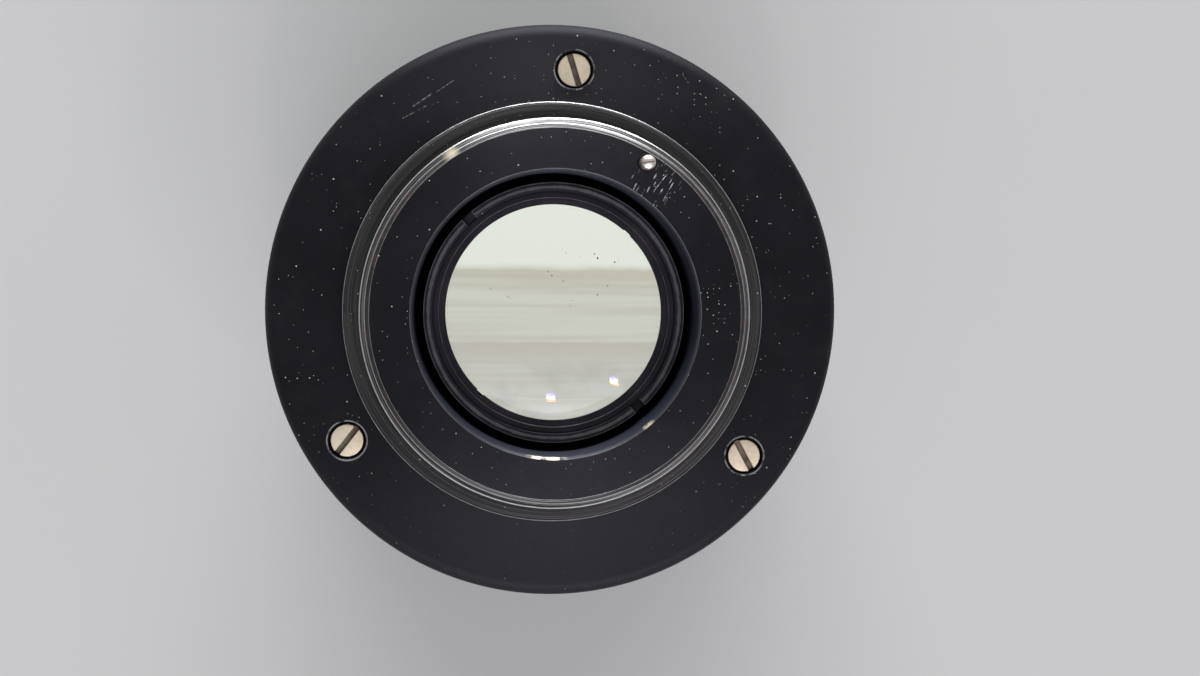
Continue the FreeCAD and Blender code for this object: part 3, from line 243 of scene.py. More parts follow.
# rounds the corners of an outline; a point marked "keep" stays sharp

def softCorners(points, size, steps=3):
    out = []
    for index, point in enumerate(points):
        here = Vector(point[:2])
        before, after = Vector(points[index - 1][:2]), Vector(points[(index + 1) % len(points)][:2])
        if here.x < 1e-6 or (len(point) > 2 and point[2] == "keep"):
            out.append(tuple(here))
            continue
        reach = min(size, 0.42 * (before - here).length, 0.42 * (after - here).length)
        start = here + (before - here).normalized() * reach
        end = here + (after - here).normalized() * reach
        for step in range(steps + 1):
            t = step / steps
            out.append(tuple(start * (1 - t) ** 2 + here * 2 * t * (1 - t) + end * t ** 2))
    return out


# turned pieces: an outline of (radius, height) in millimetres, carried round the axis

def lathe(name, points, segments=192, shift=None):
    mesh = bmesh.new()
    rows = []
    for radius, height in points:
        turns = [2 * math.pi * step / segments for step in range(segments if radius > 1e-6 else 1)]
        reach = [shift(radius, height, turn) if shift else radius for turn in turns]
        rows.append([mesh.verts.new((away * math.cos(turn) * mm, away * math.sin(turn) * mm, height * mm))
                     for away, turn in zip(reach, turns)])
    pairs = list(zip(rows, rows[1:]))
    if len(rows[0]) > 1:
        pairs.append((rows[-1], rows[0]))
    for first, second in pairs:
        for step in range(max(len(first), len(second))):
            corners = []
            for vert in (first[step % len(first)], second[step % len(second)],
                         second[(step + 1) % len(second)], first[(step + 1) % len(first)]):
                if vert not in corners:
                    corners.append(vert)
            mesh.faces.new(corners)
    return pieceOf(name, mesh)


# part of a lens surface, as outline points from one radius to another

def bowl(vertex, curve, start, end, steps=20):
    points = []
    for step in range(steps + 1):
        reach = start + (end - start) * step / steps
        points.append((reach, vertex + curve - math.copysign(math.sqrt(curve ** 2 - reach ** 2), curve)))
    return points


# modifiers are carried out, so that the piece is a plain mesh

def plain(piece):
    graph = bpy.context.evaluated_depsgraph_get()
    made = bpy.data.meshes.new_from_object(piece.evaluated_get(graph))
    piece.modifiers.clear()
    piece.data = made
    return piece


def carved(piece, cutters):
    for cutter in cutters:
        trim = piece.modifiers.new("trim", "BOOLEAN")
        trim.object = cutter
        trim.solver = "EXACT"
    plain(piece)
    for cutter in cutters:
        bpy.data.objects.remove(cutter)
    return piece


def moved(piece, offset, turn=0.0):
    piece.data.transform(Matrix.Translation(offset * mm) @ Matrix.Rotation(math.radians(turn), 4, "Z"))
    return piece


def prism(name, outline, length, axis="X"):
    mesh = bmesh.new()
    ends = []
    for side in (-0.5, 0.5):
        ends.append([mesh.verts.new((side * length * mm, across * mm, up * mm) if axis == "X"
                                    else (across * mm, up * mm, side * length * mm))
                     for across, up in outline])
    for end in ends:
        mesh.faces.new(end)
    for index in range(len(outline)):
        after = (index + 1) % len(outline)
        mesh.faces.new((ends[0][index], ends[0][after], ends[1][after], ends[1][index]))
    return pieceOf(name, mesh)


def dress(piece, materials, body, finish, *nodes):
    piece.data.materials.clear()
    for material in materials if isinstance(materials, list) else [materials]:
        piece.data.materials.append(material)
    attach(piece, body)
    if nodes:
        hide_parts(*nodes)
    return piece


# a node tree that repeats an item round the axis, or on the points of a mesh

def repeatTree(name, roundAxis):
    tree = bpy.data.node_groups.new(name, "GeometryNodeTree")
    words = [("Geometry", "NodeSocketGeometry"), ("Item", "NodeSocketObject"), ("Count", "NodeSocketInt"),
             ("First Turn", "NodeSocketFloat"), ("Finish", "NodeSocketMaterial")]
    for word, kind in words:
        tree.interface.new_socket(word, in_out="INPUT", socket_type=kind)
    tree.interface.new_socket("Geometry", in_out="OUTPUT", socket_type="NodeSocketGeometry")

    def node(kind, settings=None, sockets=None):
        made = tree.nodes.new(kind)
        for key, value in (settings or {}).items():
            setattr(made, key, value)
        for key, value in (sockets or {}).items():
            if isinstance(value, bpy.types.NodeSocket):
                tree.links.new(value, made.inputs[key])
            else:
                made.inputs[key].default_value = value
        return made

    given = node("NodeGroupInput").outputs
    item = node("GeometryNodeObjectInfo", None, {"Object": given["Item"]}).outputs["Geometry"]
    if roundAxis:
        points = node("GeometryNodePoints", None, {"Count": given["Count"]}).outputs[0]
        share = node("ShaderNodeMath", {"operation": "DIVIDE"},
                     {0: node("GeometryNodeInputIndex").outputs[0], 1: given["Count"]}).outputs[0]
        turn = node("ShaderNodeMath", {"operation": "MULTIPLY_ADD"},
                    {0: share, 1: 2 * math.pi, 2: given["First Turn"]}).outputs[0]
    else:
        points = given["Geometry"]
        turn = node("GeometryNodeInputNamedAttribute", {"data_type": "FLOAT"},
                    {"Name": "turn"}).outputs["Attribute"]
    spin = node("ShaderNodeCombineXYZ", None, {"Z": turn}).outputs[0]
    placed = node("GeometryNodeInstanceOnPoints", None,
                  {"Points": points, "Instance": item, "Rotation": spin}).outputs[0]
    result = node("GeometryNodeRealizeInstances", None, {0: placed}).outputs[0]
    if roundAxis:
        both = node("GeometryNodeJoinGeometry")
        tree.links.new(given["Geometry"], both.inputs[0])
        tree.links.new(result, both.inputs[0])
        result = both.outputs[0]
    painted = node("GeometryNodeSetMaterial", None,
                   {"Geometry": result, "Material": given["Finish"]}).outputs[0]
    tree.links.new(painted, node("NodeGroupOutput").inputs[0])
    return tree


def repeated(piece, tree, item, finish, count=0, firstTurn=0.0):
    modifier = piece.modifiers.new("repeat", "NODES")
    modifier.node_group = tree
    named = {socket.name: socket.identifier for socket in tree.interface.items_tree
             if socket.in_out == "INPUT"}
    modifier[named["Item"]] = item
    modifier[named["Count"]] = count
    modifier[named["First Turn"]] = math.radians(firstTurn)
    modifier[named["Finish"]] = finish
    plain(piece)
    bpy.data.objects.remove(item)
    return piece


ringRepeat = repeatTree("ribs round a ring", True)
pointRepeat = repeatTree("screws on points", False)


# finishes

tones = {"black": colour(0.0037, 0.0037, 0.0050), "blackWarm": colour(0.0064, 0.0062, 0.0080),
         "scuffed": colour(0.085, 0.080, 0.078), "bare": colour(0.80, 0.79, 0.78),
         "bareSoft": colour(0.50, 0.50, 0.50), "bareDark": colour(0.055, 0.053, 0.056),
         "rust": colour(0.12, 0.07, 0.06), "dust": colour(0.55, 0.54, 0.52),
         "purple": colour(0.0085, 0.0078, 0.0120), "purplePale": colour(0.017, 0.015, 0.023),
         "ring": colour(0.010, 0.010, 0.012), "ringPale": colour(0.017, 0.017, 0.019),
         "nickel": colour(0.86, 0.765, 0.60), "nickelDark": colour(0.60, 0.52, 0.39),
         "brass": colour(0.66, 0.47, 0.20), "brassDark": colour(0.38, 0.25, 0.10),
         "steel": colour(0.62, 0.61, 0.59),
         "steelDark": colour(0.36, 0.35, 0.34), "blued": colour(0.045, 0.05, 0.062),
         "bluedWarm": colour(0.075, 0.062, 0.055)}


# masks: a soft round patch, and one straight line, used for scratches and for the painted reflection across
# the pin

def near(x, y, atX, atY, start, end):
    return 1 - (((x - atX) ** 2.0 + (y - atY) ** 2.0) ** 0.5).ramped(start, end)


def scratch(x, y, start, end, width):
    run = Vector(end) - Vector(start)
    along, across = run.normalized(), Vector((-run.y, run.x)).normalized()
    side = abs((x - start[0]) * across.x + (y - start[1]) * across.y)
    reach = (x - start[0]) * along.x + (y - start[1]) * along.y
    return (1 - (side / width).ramped(0.4, 1.0)) * (reach > 0.0) * (reach < run.length)


# mount plate: heights from the frame; turns in degrees, the rest in millimetres

mount = {"flangeEdge": outer("mount_plate"), "endFace": highest("mount_plate"),
         "flangeUnder": lowest("mount_plate"), "flangeFace": highest("mount_plate") - 6.8,
         "seat": highest("mount_plate") - 5.6, "seatRadius": 23.1, "threadRadius": 21.0,
         "threadPitch": 1.0, "threadDepth": 0.55, "grooveRadius": 21.3, "grooveDepth": 0.3,
         "threadStart": 0.8, "threadEnd": 4.4, "endStep": 5.5, "seatChamfer": 0.3, "boreChamfer": 0.25,
         "reliefRadius": 20.3, "endRadius": 19.9, "boreRadius": 15.3, "boreWall": 0.9, "sleeve": 20.0,
         "pocket": highest("mount_plate") - 1.6, "skirt": highest("mount_plate") - 10.0,
         "flangeRound": 1.5, "screwPlace": 26.75, "screwTurns": (85.1, 211.8, 323.0),
         "slotTurns": (107.0, 52.0, 118.0), "wellRadius": 2.05, "wellDepth": 1.5, "wellChamfer": 0.25,
         "shankHole": 1.05, "pinPlace": 18.8, "pinTurn": 59.2, "pinHole": 0.85, "pinChamfer": 0.21}


def mountBlack():
    paint = Paint("mount black, worn")
    position = paint.position()
    radius, turn, x, y, z = polar(paint, position)
    flat = paint.joined(x, y, 0.0)
    cloudy = paint.noise(position, 0.12, 4.0)
    fine = paint.noise(position, 3.2, 3.0)
    patchy = paint.noise(position, 0.75, 4.0, 0.65)
    marks = turningMarks(paint, radius, turn, z)
    circles = paint.noise(paint.joined(radius * 8.5, turn * 0.7, 0.0), 1.0, 3.0, 0.6)
    top = mount["endFace"]
    seat = mount["seat"]

    # worn edges, as radius, height, width and strength
    edges = [(mount["endRadius"], top, 0.065, 0.6),
             (mount["threadRadius"] - 0.05, seat + 4.45, 0.13, 1.0),
             (mount["endRadius"] + 0.48, seat + 5.02, 0.08, 0.75),
             (mount["seatRadius"], seat - 0.28, 0.11, 1.0),
             (mount["boreRadius"] + mount["boreChamfer"], top, 0.06, 0.30)]
    worn = 0.0
    for atRadius, atHeight, width, strength in edges:
        line = wornEdge(radius, z, atRadius, atHeight, width, patchy) * strength
        worn = line.atLeast(worn)

    # bare metal on the chamfers, the crests of the thread and the seat
    chamfer = (z > seat + 4.36) * (z < top - 0.04) * (radius > mount["endRadius"] - 0.04)
    seatChamfer = (z > seat - 0.32) * (z < seat - 0.01) * (radius > mount["seatRadius"] - 0.31)
    boreChamfer = (radius < mount["boreRadius"] + 0.27) * (z > top - 0.27)
    crest = (z > seat + 0.75) * (z < seat + 4.4) * (radius > mount["threadRadius"] - 0.12)
    streaks = circles.ramped(0.44, 0.66)
    # painted shade: towards the left and right the bare metal is dimmer and the inner half of the thread's
    # end chamfer darker; rust stains are put there as well
    aside = (x * x / 320.0).atMost(1.0)
    ring = (z > seat - 0.02) * (z < seat + 0.02) * (radius > mount["grooveRadius"])
    scuffed = (ring * (0.3 + streaks * 1.1) * (0.65 + cloudy * 0.7)).atMost(1.0)
    bare = chamfer * (0.6 + streaks * 0.4) + seatChamfer * 0.2 + crest * 0.25 + worn
    bare = (bare * (0.72 + patchy * 0.5) * (1 - aside * 0.3)).atMost(1.0)
    innerHalf = chamfer * (1 - (radius - mount["endRadius"]).ramped(0.35, 0.75))
    rust = innerHalf * patchy.ramped(0.40, 0.60) * aside

    # bright rings round the screws
    wells = 0.0
    for screwTurn in mount["screwTurns"]:
        wellX, wellY = spot(mount["screwPlace"], screwTurn)[:2]
        away = ((x - wellX) ** 2.0 + (y - wellY) ** 2.0) ** 0.5
        wells = (1 - (abs(away - 2.2) / 0.09).ramped(0.5, 1.1)).atLeast(wells)
    wells = wells * (z > mount["flangeFace"] - 0.14) * patchy.ramped(0.40, 0.55)

    # chips below the pin and hair scratches on the flange
    pinX, pinY = spot(mount["pinPlace"], mount["pinTurn"])[:2]
    rearFace = (z > top - 0.02)
    belowPin = near(x, y, pinX - 0.2, pinY - 3.0, 0.8, 3.0).atLeast(
        near(x, y, pinX + 1.6, pinY - 2.2, 0.6, 2.4))
    chips = hairLines(paint, flat, -60.0, 0.34, 0.8, 0.34, 0.07).atLeast(
        hairLines(paint, flat, -52.0, 0.52, 1.3, 0.24, 0.05))
    chips = chips * fine.ramped(0.42, 0.55) * belowPin * rearFace
    flangeHairs = scratch(x, y, (-15.4, 22.5), (-13.3, 23.9), 0.09).atLeast(
        scratch(x, y, (-12.8, 24.1), (-10.9, 25.4), 0.05)).atLeast(
        scratch(x, y, (-16.5, 21.2), (-13.9, 22.6), 0.05)).atLeast(
        scratch(x, y, (14.2, 26.3), (14.9, 25.3), 0.04))
    rubbed = flangeHairs * (z > mount["flangeFace"] - 0.05) * fine.ramped(0.38, 0.6)

    # dust lies on faces that look up, and more of it in three places
    crowded = near(x, y, 15.6, 24.6, 1.5, 5.0).atLeast(near(x, y, 4.0, 17.2, 0.8, 2.6)).atLeast(
        near(x, y, 17.6, 1.5, 1.0, 5.0))
    upward = paint.parts(paint.add("NewGeometry", out="Normal"))[2] > 0.8
    specks = dust(paint, flat, 0.75, 0.085, 0.058, "2D").atLeast(
        dust(paint, flat, 1.9, 0.050, 0.090, "2D") * (0.25 + cloudy)).atLeast(
        dust(paint, flat, 1.6, 0.20, 0.090, "2D") * crowded) * upward * y.ramped(-24.0, -13.0, 0.25, 1.0)
    film = paint.noise(position, 0.35, 5.0, 0.6).ramped(0.5, 0.85, 0.0, 0.07)

    base = paint.blend(cloudy.ramped(0.35, 0.7), tones["black"], tones["blackWarm"])
    base = paint.blend(film, base, colour(0.075, 0.073, 0.075))
    base = paint.blend(scuffed, base, tones["scuffed"])
    wall = (radius < mount["boreRadius"] + 0.1) * (z < top - 0.3)
    # painted highlights: two warm lamp glints on the bore chamfer near the bottom, and one warm hot spot on
    # the thread's end chamfer at the upper left
    paintedGlints = near(x, y, -1.0, -15.3, 0.6, 2.6).atLeast(near(x, y, 9.9, -11.8, 0.3, 0.9))
    paintedGlints = paintedGlints * (radius < mount["boreRadius"] + 0.3) * (z > top - 0.5) * patchy.ramped(0.36, 0.5)
    paintedGlints = paintedGlints.atLeast(near(x, y, -11.1, 17.0, 0.1, 1.2) * chamfer * 0.8)
    base = paint.blend(boreChamfer * 0.5, base, colour(0.10, 0.105, 0.125))
    # painted sheen: a lighter bluish tone on the bore wall stands in for a soft bluish highlight there
    base = paint.blend(wall * (0.5 + marks), base, colour(0.028, 0.032, 0.046))
    # painted shade: the inner half of the end chamfer is darker at the left and right
    metal = paint.blend(streaks * (1 - innerHalf * aside * 0.8), tones["bareDark"], tones["bareSoft"])
    metal = paint.blend(worn.atMost(1.0), metal, tones["bare"])
    metal = paint.blend(rust * 0.8, metal, tones["rust"])
    base = paint.blend(bare, base, metal)
    # painted highlights: the glints are laid on as pale warm metal
    base = paint.blend(paintedGlints, base, colour(0.92, 0.82, 0.64))
    marked = (wells * 0.5 + rubbed * 0.4 + chips * 0.95).atMost(1.0)
    base = paint.blend(marked, base, colour(0.50, 0.50, 0.52))
    base = paint.blend(specks * 0.9, base, tones["dust"])
    rough = 0.42 + cloudy * 0.10 + fine * 0.05 - bare * 0.14 + specks * 0.2 - scuffed * 0.06 + rust * 0.1
    metallic = (bare + scuffed * 0.45 + boreChamfer * 0.4 + paintedGlints).atMost(1.0)
    metallic = metallic * (1 - specks) * (1 - rust * 0.6)
    relief = marks * 0.8 + fine * 0.2 + circles * (ring + chamfer) * 0.9 - chips * 0.8
    surface = paint.surface(baseColor=base, roughness=rough, metallic=metallic, specularIORLevel=0.32,
                            specularTint=colour(0.86, 0.87, 1.0), anisotropic=0.7, anisotropicRotation=0.25,
                            normal=bump(paint, relief, 0.014))
    return paint.done(surface)


# black of the turned rings and cells; the worn edges are given as (radius, height, width)

def turnedBlack(name, first, second, roughness, edges=(), wear=0.8, marksScale=8.0, specked=0.10, depth=0.01,
                lines=()):
    paint = Paint(name)
    position = paint.position()
    radius, turn, x, y, z = polar(paint, position)
    cloudy = paint.noise(position, 0.2, 4.0)
    fine = paint.noise(position, 4.0, 3.0)
    patchy = paint.noise(position, 0.9, 4.0, 0.65)
    marks = turningMarks(paint, radius, turn, z, marksScale)
    base = paint.blend(cloudy.ramped(0.35, 0.7), first, second)
    base = paint.blend(marks.ramped(0.45, 0.75) * 0.35, base, colour(*(value * 2.1 for value in second[:3])))
    rough = roughness + cloudy * 0.08 + fine * 0.05
    specks = dust(paint, position, 0.9, specked, 0.07)
    metallic = 0.0
    if edges:
        worn = 0.0
        for edge in edges:
            worn = wornEdge(radius, z, *edge, patchy).atLeast(worn)
        for start, end in lines:
            worn = (scratch(x, y, start, end, 0.09) * (0.5 + fine)).atLeast(worn)
        worn = (worn * (0.4 + patchy * 0.9) * wear).atMost(1.0)
        base = paint.blend(worn, base, tones["bare"])
        metallic = worn * (1 - specks)
        rough = rough - worn * 0.12
    base = paint.blend(specks * 0.7, base, tones["dust"])
    surface = paint.surface(baseColor=base, roughness=rough, metallic=metallic, specularIORLevel=0.32,
                            specularTint=colour(0.86, 0.86, 1.0),
                            normal=bump(paint, marks * 0.7 + fine * 0.3, depth))
    return paint.done(surface)


# bright metal: two tones, marks of the lathe or the brush, and tarnish in patches

def brightMetal(name, first, second, roughness, turned=True, tarnish=0.5, darkerBelow=None, line=None):
    paint = Paint(name)
    position = paint.position()
    radius, turn, x, y, z = polar(paint, position)
    patchy = paint.noise(position, 0.8, 4.0, 0.6)
    fine = paint.noise(position, 6.0, 3.0)
    marks = turningMarks(paint, radius, turn, z, 11.0) if turned else paint.noise(
        paint.joined(x * 1.2, y * 9.0, z * 9.0), 1.0, 3.0)
    base = paint.blend(patchy.ramped(0.4, 0.75) * tarnish, first, second)
    base = paint.blend(marks.ramped(0.5, 0.8) * 0.3, base, second)
    # darker and browner below the given height, deeper in the screw slots and down the sides of the heads in
    # the wells
    if darkerBelow:
        belowShare = (darkerBelow - z).ramped(0.0, 0.35) * (0.55 + patchy * 0.6)
        base = paint.blend(belowShare.atMost(1.0), base, colour(0.13, 0.10, 0.07))
    # a dark straight line; on the pin it is a painted reflection of the horizon across its dome
    if line:
        base = paint.blend(scratch(x, y, *line) * 0.8, base, colour(0.10, 0.07, 0.05))
    rough = roughness + patchy * 0.12 + fine * 0.06
    surface = paint.surface(baseColor=base, roughness=rough, metallic=1.0,
                            normal=bump(paint, marks * 0.6 + fine * 0.4, 0.006))
    return paint.done(surface)


# coated glass mirrors little where light enters, and nothing where it leaves

def lensGlass(name, tint, mirror):
    paint = Paint(name)
    position = paint.position()
    x, y, z = paint.parts(position)
    flat = paint.joined(x, y, 0.0)
    specks = dust(paint, flat, 0.42, 0.03, 0.020, "2D").atLeast(dust(paint, flat, 1.1, 0.012, 0.036, "2D"))
    smear = paint.noise(position, 0.22, 3.0)
    entering, leaving = [
        paint.surface(baseColor=tint, roughness=0.0, iOR=1.62, transmissionWeight=1.0,
                      specularTint=colour(share, share, share)) for share in (mirror, 0.0)]
    clear = paint.add("MixShader", None,
                      {0: paint.add("NewGeometry", out="Backfacing"), 1: entering, 2: leaving})
    spotted = paint.surface(baseColor=paint.blend(smear, colour(0.10, 0.09, 0.085), colour(0.2, 0.19, 0.18)),
                            roughness=0.6)
    return paint.done(paint.add("MixShader", None, {0: specks * 0.85, 1: clear, 2: spotted}))


def blackEdge():
    paint = Paint("blackened glass edge")
    position = paint.position()
    grain = paint.noise(position, 5.0, 3.0)
    base = paint.blend(grain, colour(0.008, 0.008, 0.009), colour(0.02, 0.019, 0.018))
    return paint.done(paint.surface(baseColor=base, roughness=0.55 + grain * 0.25,
                                    normal=bump(paint, grain, 0.01)))


def inkedGroove(name, first, second):
    paint = Paint(name)
    position = paint.position()
    grain = paint.noise(position, 3.0, 4.0)
    grime = paint.noise(position, 0.8, 3.0).ramped(0.5, 0.8, 0.0, 0.5)
    base = paint.blend(grime, paint.blend(grain, first, second), colour(0.30, 0.29, 0.27))
    return paint.done(paint.surface(baseColor=base, roughness=0.5 + grain * 0.15,
                                    normal=bump(paint, grain, 0.01)))


pinCentre = spot(mount["pinPlace"], mount["pinTurn"]).to_2d()

finishes = {
    "mount": mountBlack(),
    "inner": turnedBlack("purplish cell black", tones["purple"], tones["purplePale"], 0.34,
                         [(14.25, 52.54, 0.07), (13.75, 52.54, 0.17)], 0.14, 7.0, 0.06, 0.014,
                         [(spot(13.3, turn + side)[:2], spot(14.3, turn + side)[:2])
                          for turn in (131.9, 311.9) for side in (-2.95, 2.95)]),
    "ring": turnedBlack("black of the grip rings", tones["ring"], tones["ringPale"], 0.38,
                        [(32.2, 11.0, 0.10), (32.2, 23.5, 0.07), (31.2, 10.0, 0.09), (31.7, 30.5, 0.06),
                         (31.5, 40.0, 0.07), (31.5, 47.1, 0.09)], 0.5),
    "scale": turnedBlack("black of the fixed rings", tones["ring"], tones["ringPale"], 0.40,
                         [(31.0, 37.5, 0.07), (27.0, 0.3, 0.10), (26.7, 0.0, 0.10), (26.4, 0.0, 0.09)], 0.5),
    "baffle": turnedBlack("matt inner black", colour(0.010, 0.010, 0.011), colour(0.018, 0.017, 0.018), 0.62,
                          (), 0.0, 12.0, 0.05, 0.03),
    "blackBrass": turnedBlack("blackened brass", colour(0.0085, 0.0078, 0.0105), colour(0.019, 0.016, 0.021),
                              0.30, [(12.6, 51.94, 0.05)], 0.18, 6.0, 0.04, 0.014),
    "nickel": brightMetal("nickel of the screws", tones["nickel"], tones["nickelDark"], 0.50, False, 0.45,
                          mount["flangeFace"] - 0.25),
    # the pin's last entry is a dark line across its dome: a painted reflection of the horizon
    "pin": brightMetal("nickel of the pin", colour(0.97, 0.89, 0.82), colour(0.74, 0.63, 0.54), 0.30, False,
                       0.5, None,
                       (pinCentre - Vector((0.66, 0.09)), pinCentre + Vector((0.66, 0.11)), 0.085)),
    "steel": brightMetal("bright steel", tones["steel"], tones["steelDark"], 0.26, True, 0.4),
    "spring": brightMetal("spring steel", tones["steel"], tones["steelDark"], 0.34, False, 0.7),
    "brass": brightMetal("turned brass", tones["brass"], tones["brassDark"], 0.32, True, 0.6),
    "blade": turnedBlack("blued leaf steel", tones["blued"], tones["bluedWarm"], 0.36, (), 0.0, 3.0, 0.03),
    "rearGlass": lensGlass("coated rear glass", colour(0.985, 0.992, 0.98), 0.4),
    "glass": lensGlass("coated inner glass", colour(0.99, 0.994, 0.985), 0.0),
    "glassEdge": blackEdge(),
    "white": inkedGroove("white engraving", colour(0.70, 0.69, 0.65), colour(0.80, 0.79, 0.76)),
    "red": inkedGroove("red engraving", colour(0.55, 0.03, 0.02), colour(0.66, 0.05, 0.03)),
}
print("finishes made")


# mount plate: one turning with a cut thread, three counterbores and the hole of the pin

def threadShift(start, end, radius, pitch, depth, inward=False):
    def shift(at, height, turn):
        if abs(at - radius) > 1e-4 or not start <= height <= end:
            return at
        phase = (height / pitch - turn / (2 * math.pi)) % 1.0
        tooth = min(1.0, 1.35 * abs(2 * phase - 1))
        fade = min(1.0, (height - start) / (0.5 * pitch), (end - height) / (0.5 * pitch))
        return at + (depth if inward else -depth) * (1 - tooth) * max(0.0, fade)
    return shift


def threadRows(radius, start, end, pitch, steps=10):
    count = round((end - start) / pitch * steps)
    return [(radius, start + (end - start) * step / count, "keep") for step in range(count + 1)]


def mountPlate():
    m = mount
    top, seat, face = m["endFace"], m["seat"], m["flangeFace"]
    arc = [(m["flangeEdge"] - m["flangeRound"] * (1 - math.cos(math.radians(step * 11.25))),
            face - m["flangeRound"] * (1 - math.sin(math.radians(step * 11.25))), "keep")
           for step in range(9)]
    start, end = seat + m["threadStart"], seat + m["threadEnd"]
    outline = [(m["boreRadius"], top - m["boreChamfer"]), (m["boreRadius"], m["skirt"]),
               (m["boreRadius"] + m["boreWall"], m["skirt"]), (m["boreRadius"] + m["boreWall"], m["pocket"]),
               (m["sleeve"], m["pocket"]), (m["sleeve"], m["flangeUnder"]),
               (m["flangeEdge"] - 0.4, m["flangeUnder"]), (m["flangeEdge"], m["flangeUnder"] + 0.4)]
    outline += arc
    outline += [(m["seatRadius"], face), (m["seatRadius"], seat - m["seatChamfer"]),
                (m["seatRadius"] - m["seatChamfer"], seat),
                (m["grooveRadius"], seat), (m["grooveRadius"], seat - m["grooveDepth"]),
                (m["reliefRadius"], seat - m["grooveDepth"]), (m["reliefRadius"], start)]
    outline += threadRows(m["threadRadius"], start, end, m["threadPitch"])
    outline += [(m["endRadius"], seat + m["endStep"]), (m["endRadius"], top),
                (m["boreRadius"] + m["boreChamfer"], top)]
    shift = threadShift(start, end, m["threadRadius"], m["threadPitch"], m["threadDepth"])
    plate = lathe("mountPlate", softCorners(outline, 0.05, 2), 288, shift)
    cutters = []
    wall, deep, wide = m["wellRadius"], face - m["wellDepth"], m["wellRadius"] + m["wellChamfer"]
    well = [(0, deep), (wall, deep), (wall, face - 0.12), (wide, face + 0.13), (wide, face + 2),
            (0, face + 2)]
    shank, under = m["shankHole"], m["flangeUnder"] - 1
    through = [(0, under), (shank, under), (shank, face - 1), (0, face - 1)]
    for index, turn in enumerate(m["screwTurns"]):
        cutters.append(moved(lathe("well%d" % index, well, 64), spot(m["screwPlace"], turn)))
        cutters.append(moved(lathe("through%d" % index, through, 48), spot(m["screwPlace"], turn)))
    wall, deep, wide = m["pinHole"], m["pocket"] - 1, m["pinHole"] + m["pinChamfer"]
    hole = [(0, deep), (wall, deep), (wall, top - 0.16), (wide, top + 0.05), (wide, top + 1), (0, top + 1)]
    cutters.append(moved(lathe("pinHole", hole, 48), spot(m["pinPlace"], m["pinTurn"])))
    carved(plate, cutters)
    smoothed(plate, 28)
    dress(plate, finishes["mount"], "lens_body", "black_anodised", "mount_plate")


mountPlate()
print("mount plate turned")


# mount screws: one slotted cheese head, set on three points that carry the turn of its slot

screw = {"headRadius": 1.8, "headHeight": 1.3, "slotWidth": 0.63, "slotDepth": 0.6, "shankRadius": 1.0,
         "length": 5.6, "edge": 0.12}


def mountScrews():
    s = screw
    outline = [(0, -s["length"]), (s["shankRadius"] - 0.25, -s["length"]),
               (s["shankRadius"], -s["length"] + 0.3), (s["shankRadius"], 0), (s["headRadius"], 0),
               (s["headRadius"], s["headHeight"]), (0, s["headHeight"])]
    one = lathe("screwBlank", softCorners(outline, s["edge"], 3), 64)
    half, up = s["slotWidth"] / 2, s["headHeight"]
    slot = prism("slot", [(-half, up - s["slotDepth"]), (half, up - s["slotDepth"]), (half, up - 0.05),
                          (half + 0.08, up + 0.03), (half + 0.08, up + 1), (-half - 0.08, up + 1),
                          (-half - 0.08, up + 0.03), (-half, up - 0.05)], 2 * s["headRadius"] + 2)
    carved(one, [slot])
    points = bpy.data.meshes.new("screwPoints")
    height = mount["flangeFace"] - mount["wellDepth"]
    points.from_pydata([spot(mount["screwPlace"], turn, height) * mm for turn in mount["screwTurns"]], [], [])
    turns = points.attributes.new("turn", "FLOAT", "POINT")
    turns.data.foreach_set("value", [math.radians(turn) for turn in mount["slotTurns"]])
    screws = repeated(newObject("mountScrews", points), pointRepeat, one, finishes["nickel"])
    smoothed(screws, 28)
    dress(screws, finishes["nickel"], "lens_body", "nickel_steel", "mount_screws")


mountScrews()


# stop-down pin, with its collar below the end wall

pin = {"base": lowest("stop_down_pin"), "top": highest("stop_down_pin"), "radius": 0.8, "dome": 0.4,
       "collar": 1.1, "collarTop": 3.85, "collarBase": 4.85}


def stopDownPin():
    base, top, wall, collar = pin["base"], pin["top"], pin["radius"], pin["collar"]
    under, over = top - pin["collarBase"], top - pin["collarTop"]
    outline = [(0, base), (0.45, base + 0.08), (wall, base + pin["dome"]), (wall, under), (collar, under),
               (collar, over), (wall, over), (wall, top - pin["dome"]), (0.66, top - 0.21),
               (0.42, top - 0.08), (0.2, top - 0.017), (0, top)]
    piece = lathe("stopDownPin", softCorners(outline, 0.04, 2), 64)
    moved(piece, spot(mount["pinPlace"], mount["pinTurn"]))
    dress(smoothed(piece, 40), finishes["pin"], "stop_down_pin", "nickel_steel", "stop_down_pin")


stopDownPin()


# the pin's spring, between the flange and the collar; on the lens it shortens as the pin goes in, this coil
# is built at one length

coil = {"base": lowest("pin_spring"), "top": highest("pin_spring"), "radius": 0.95, "wire": 0.14, "turns": 5,
        "stepsPerTurn": 40, "sides": 10, "travel": 1.8}


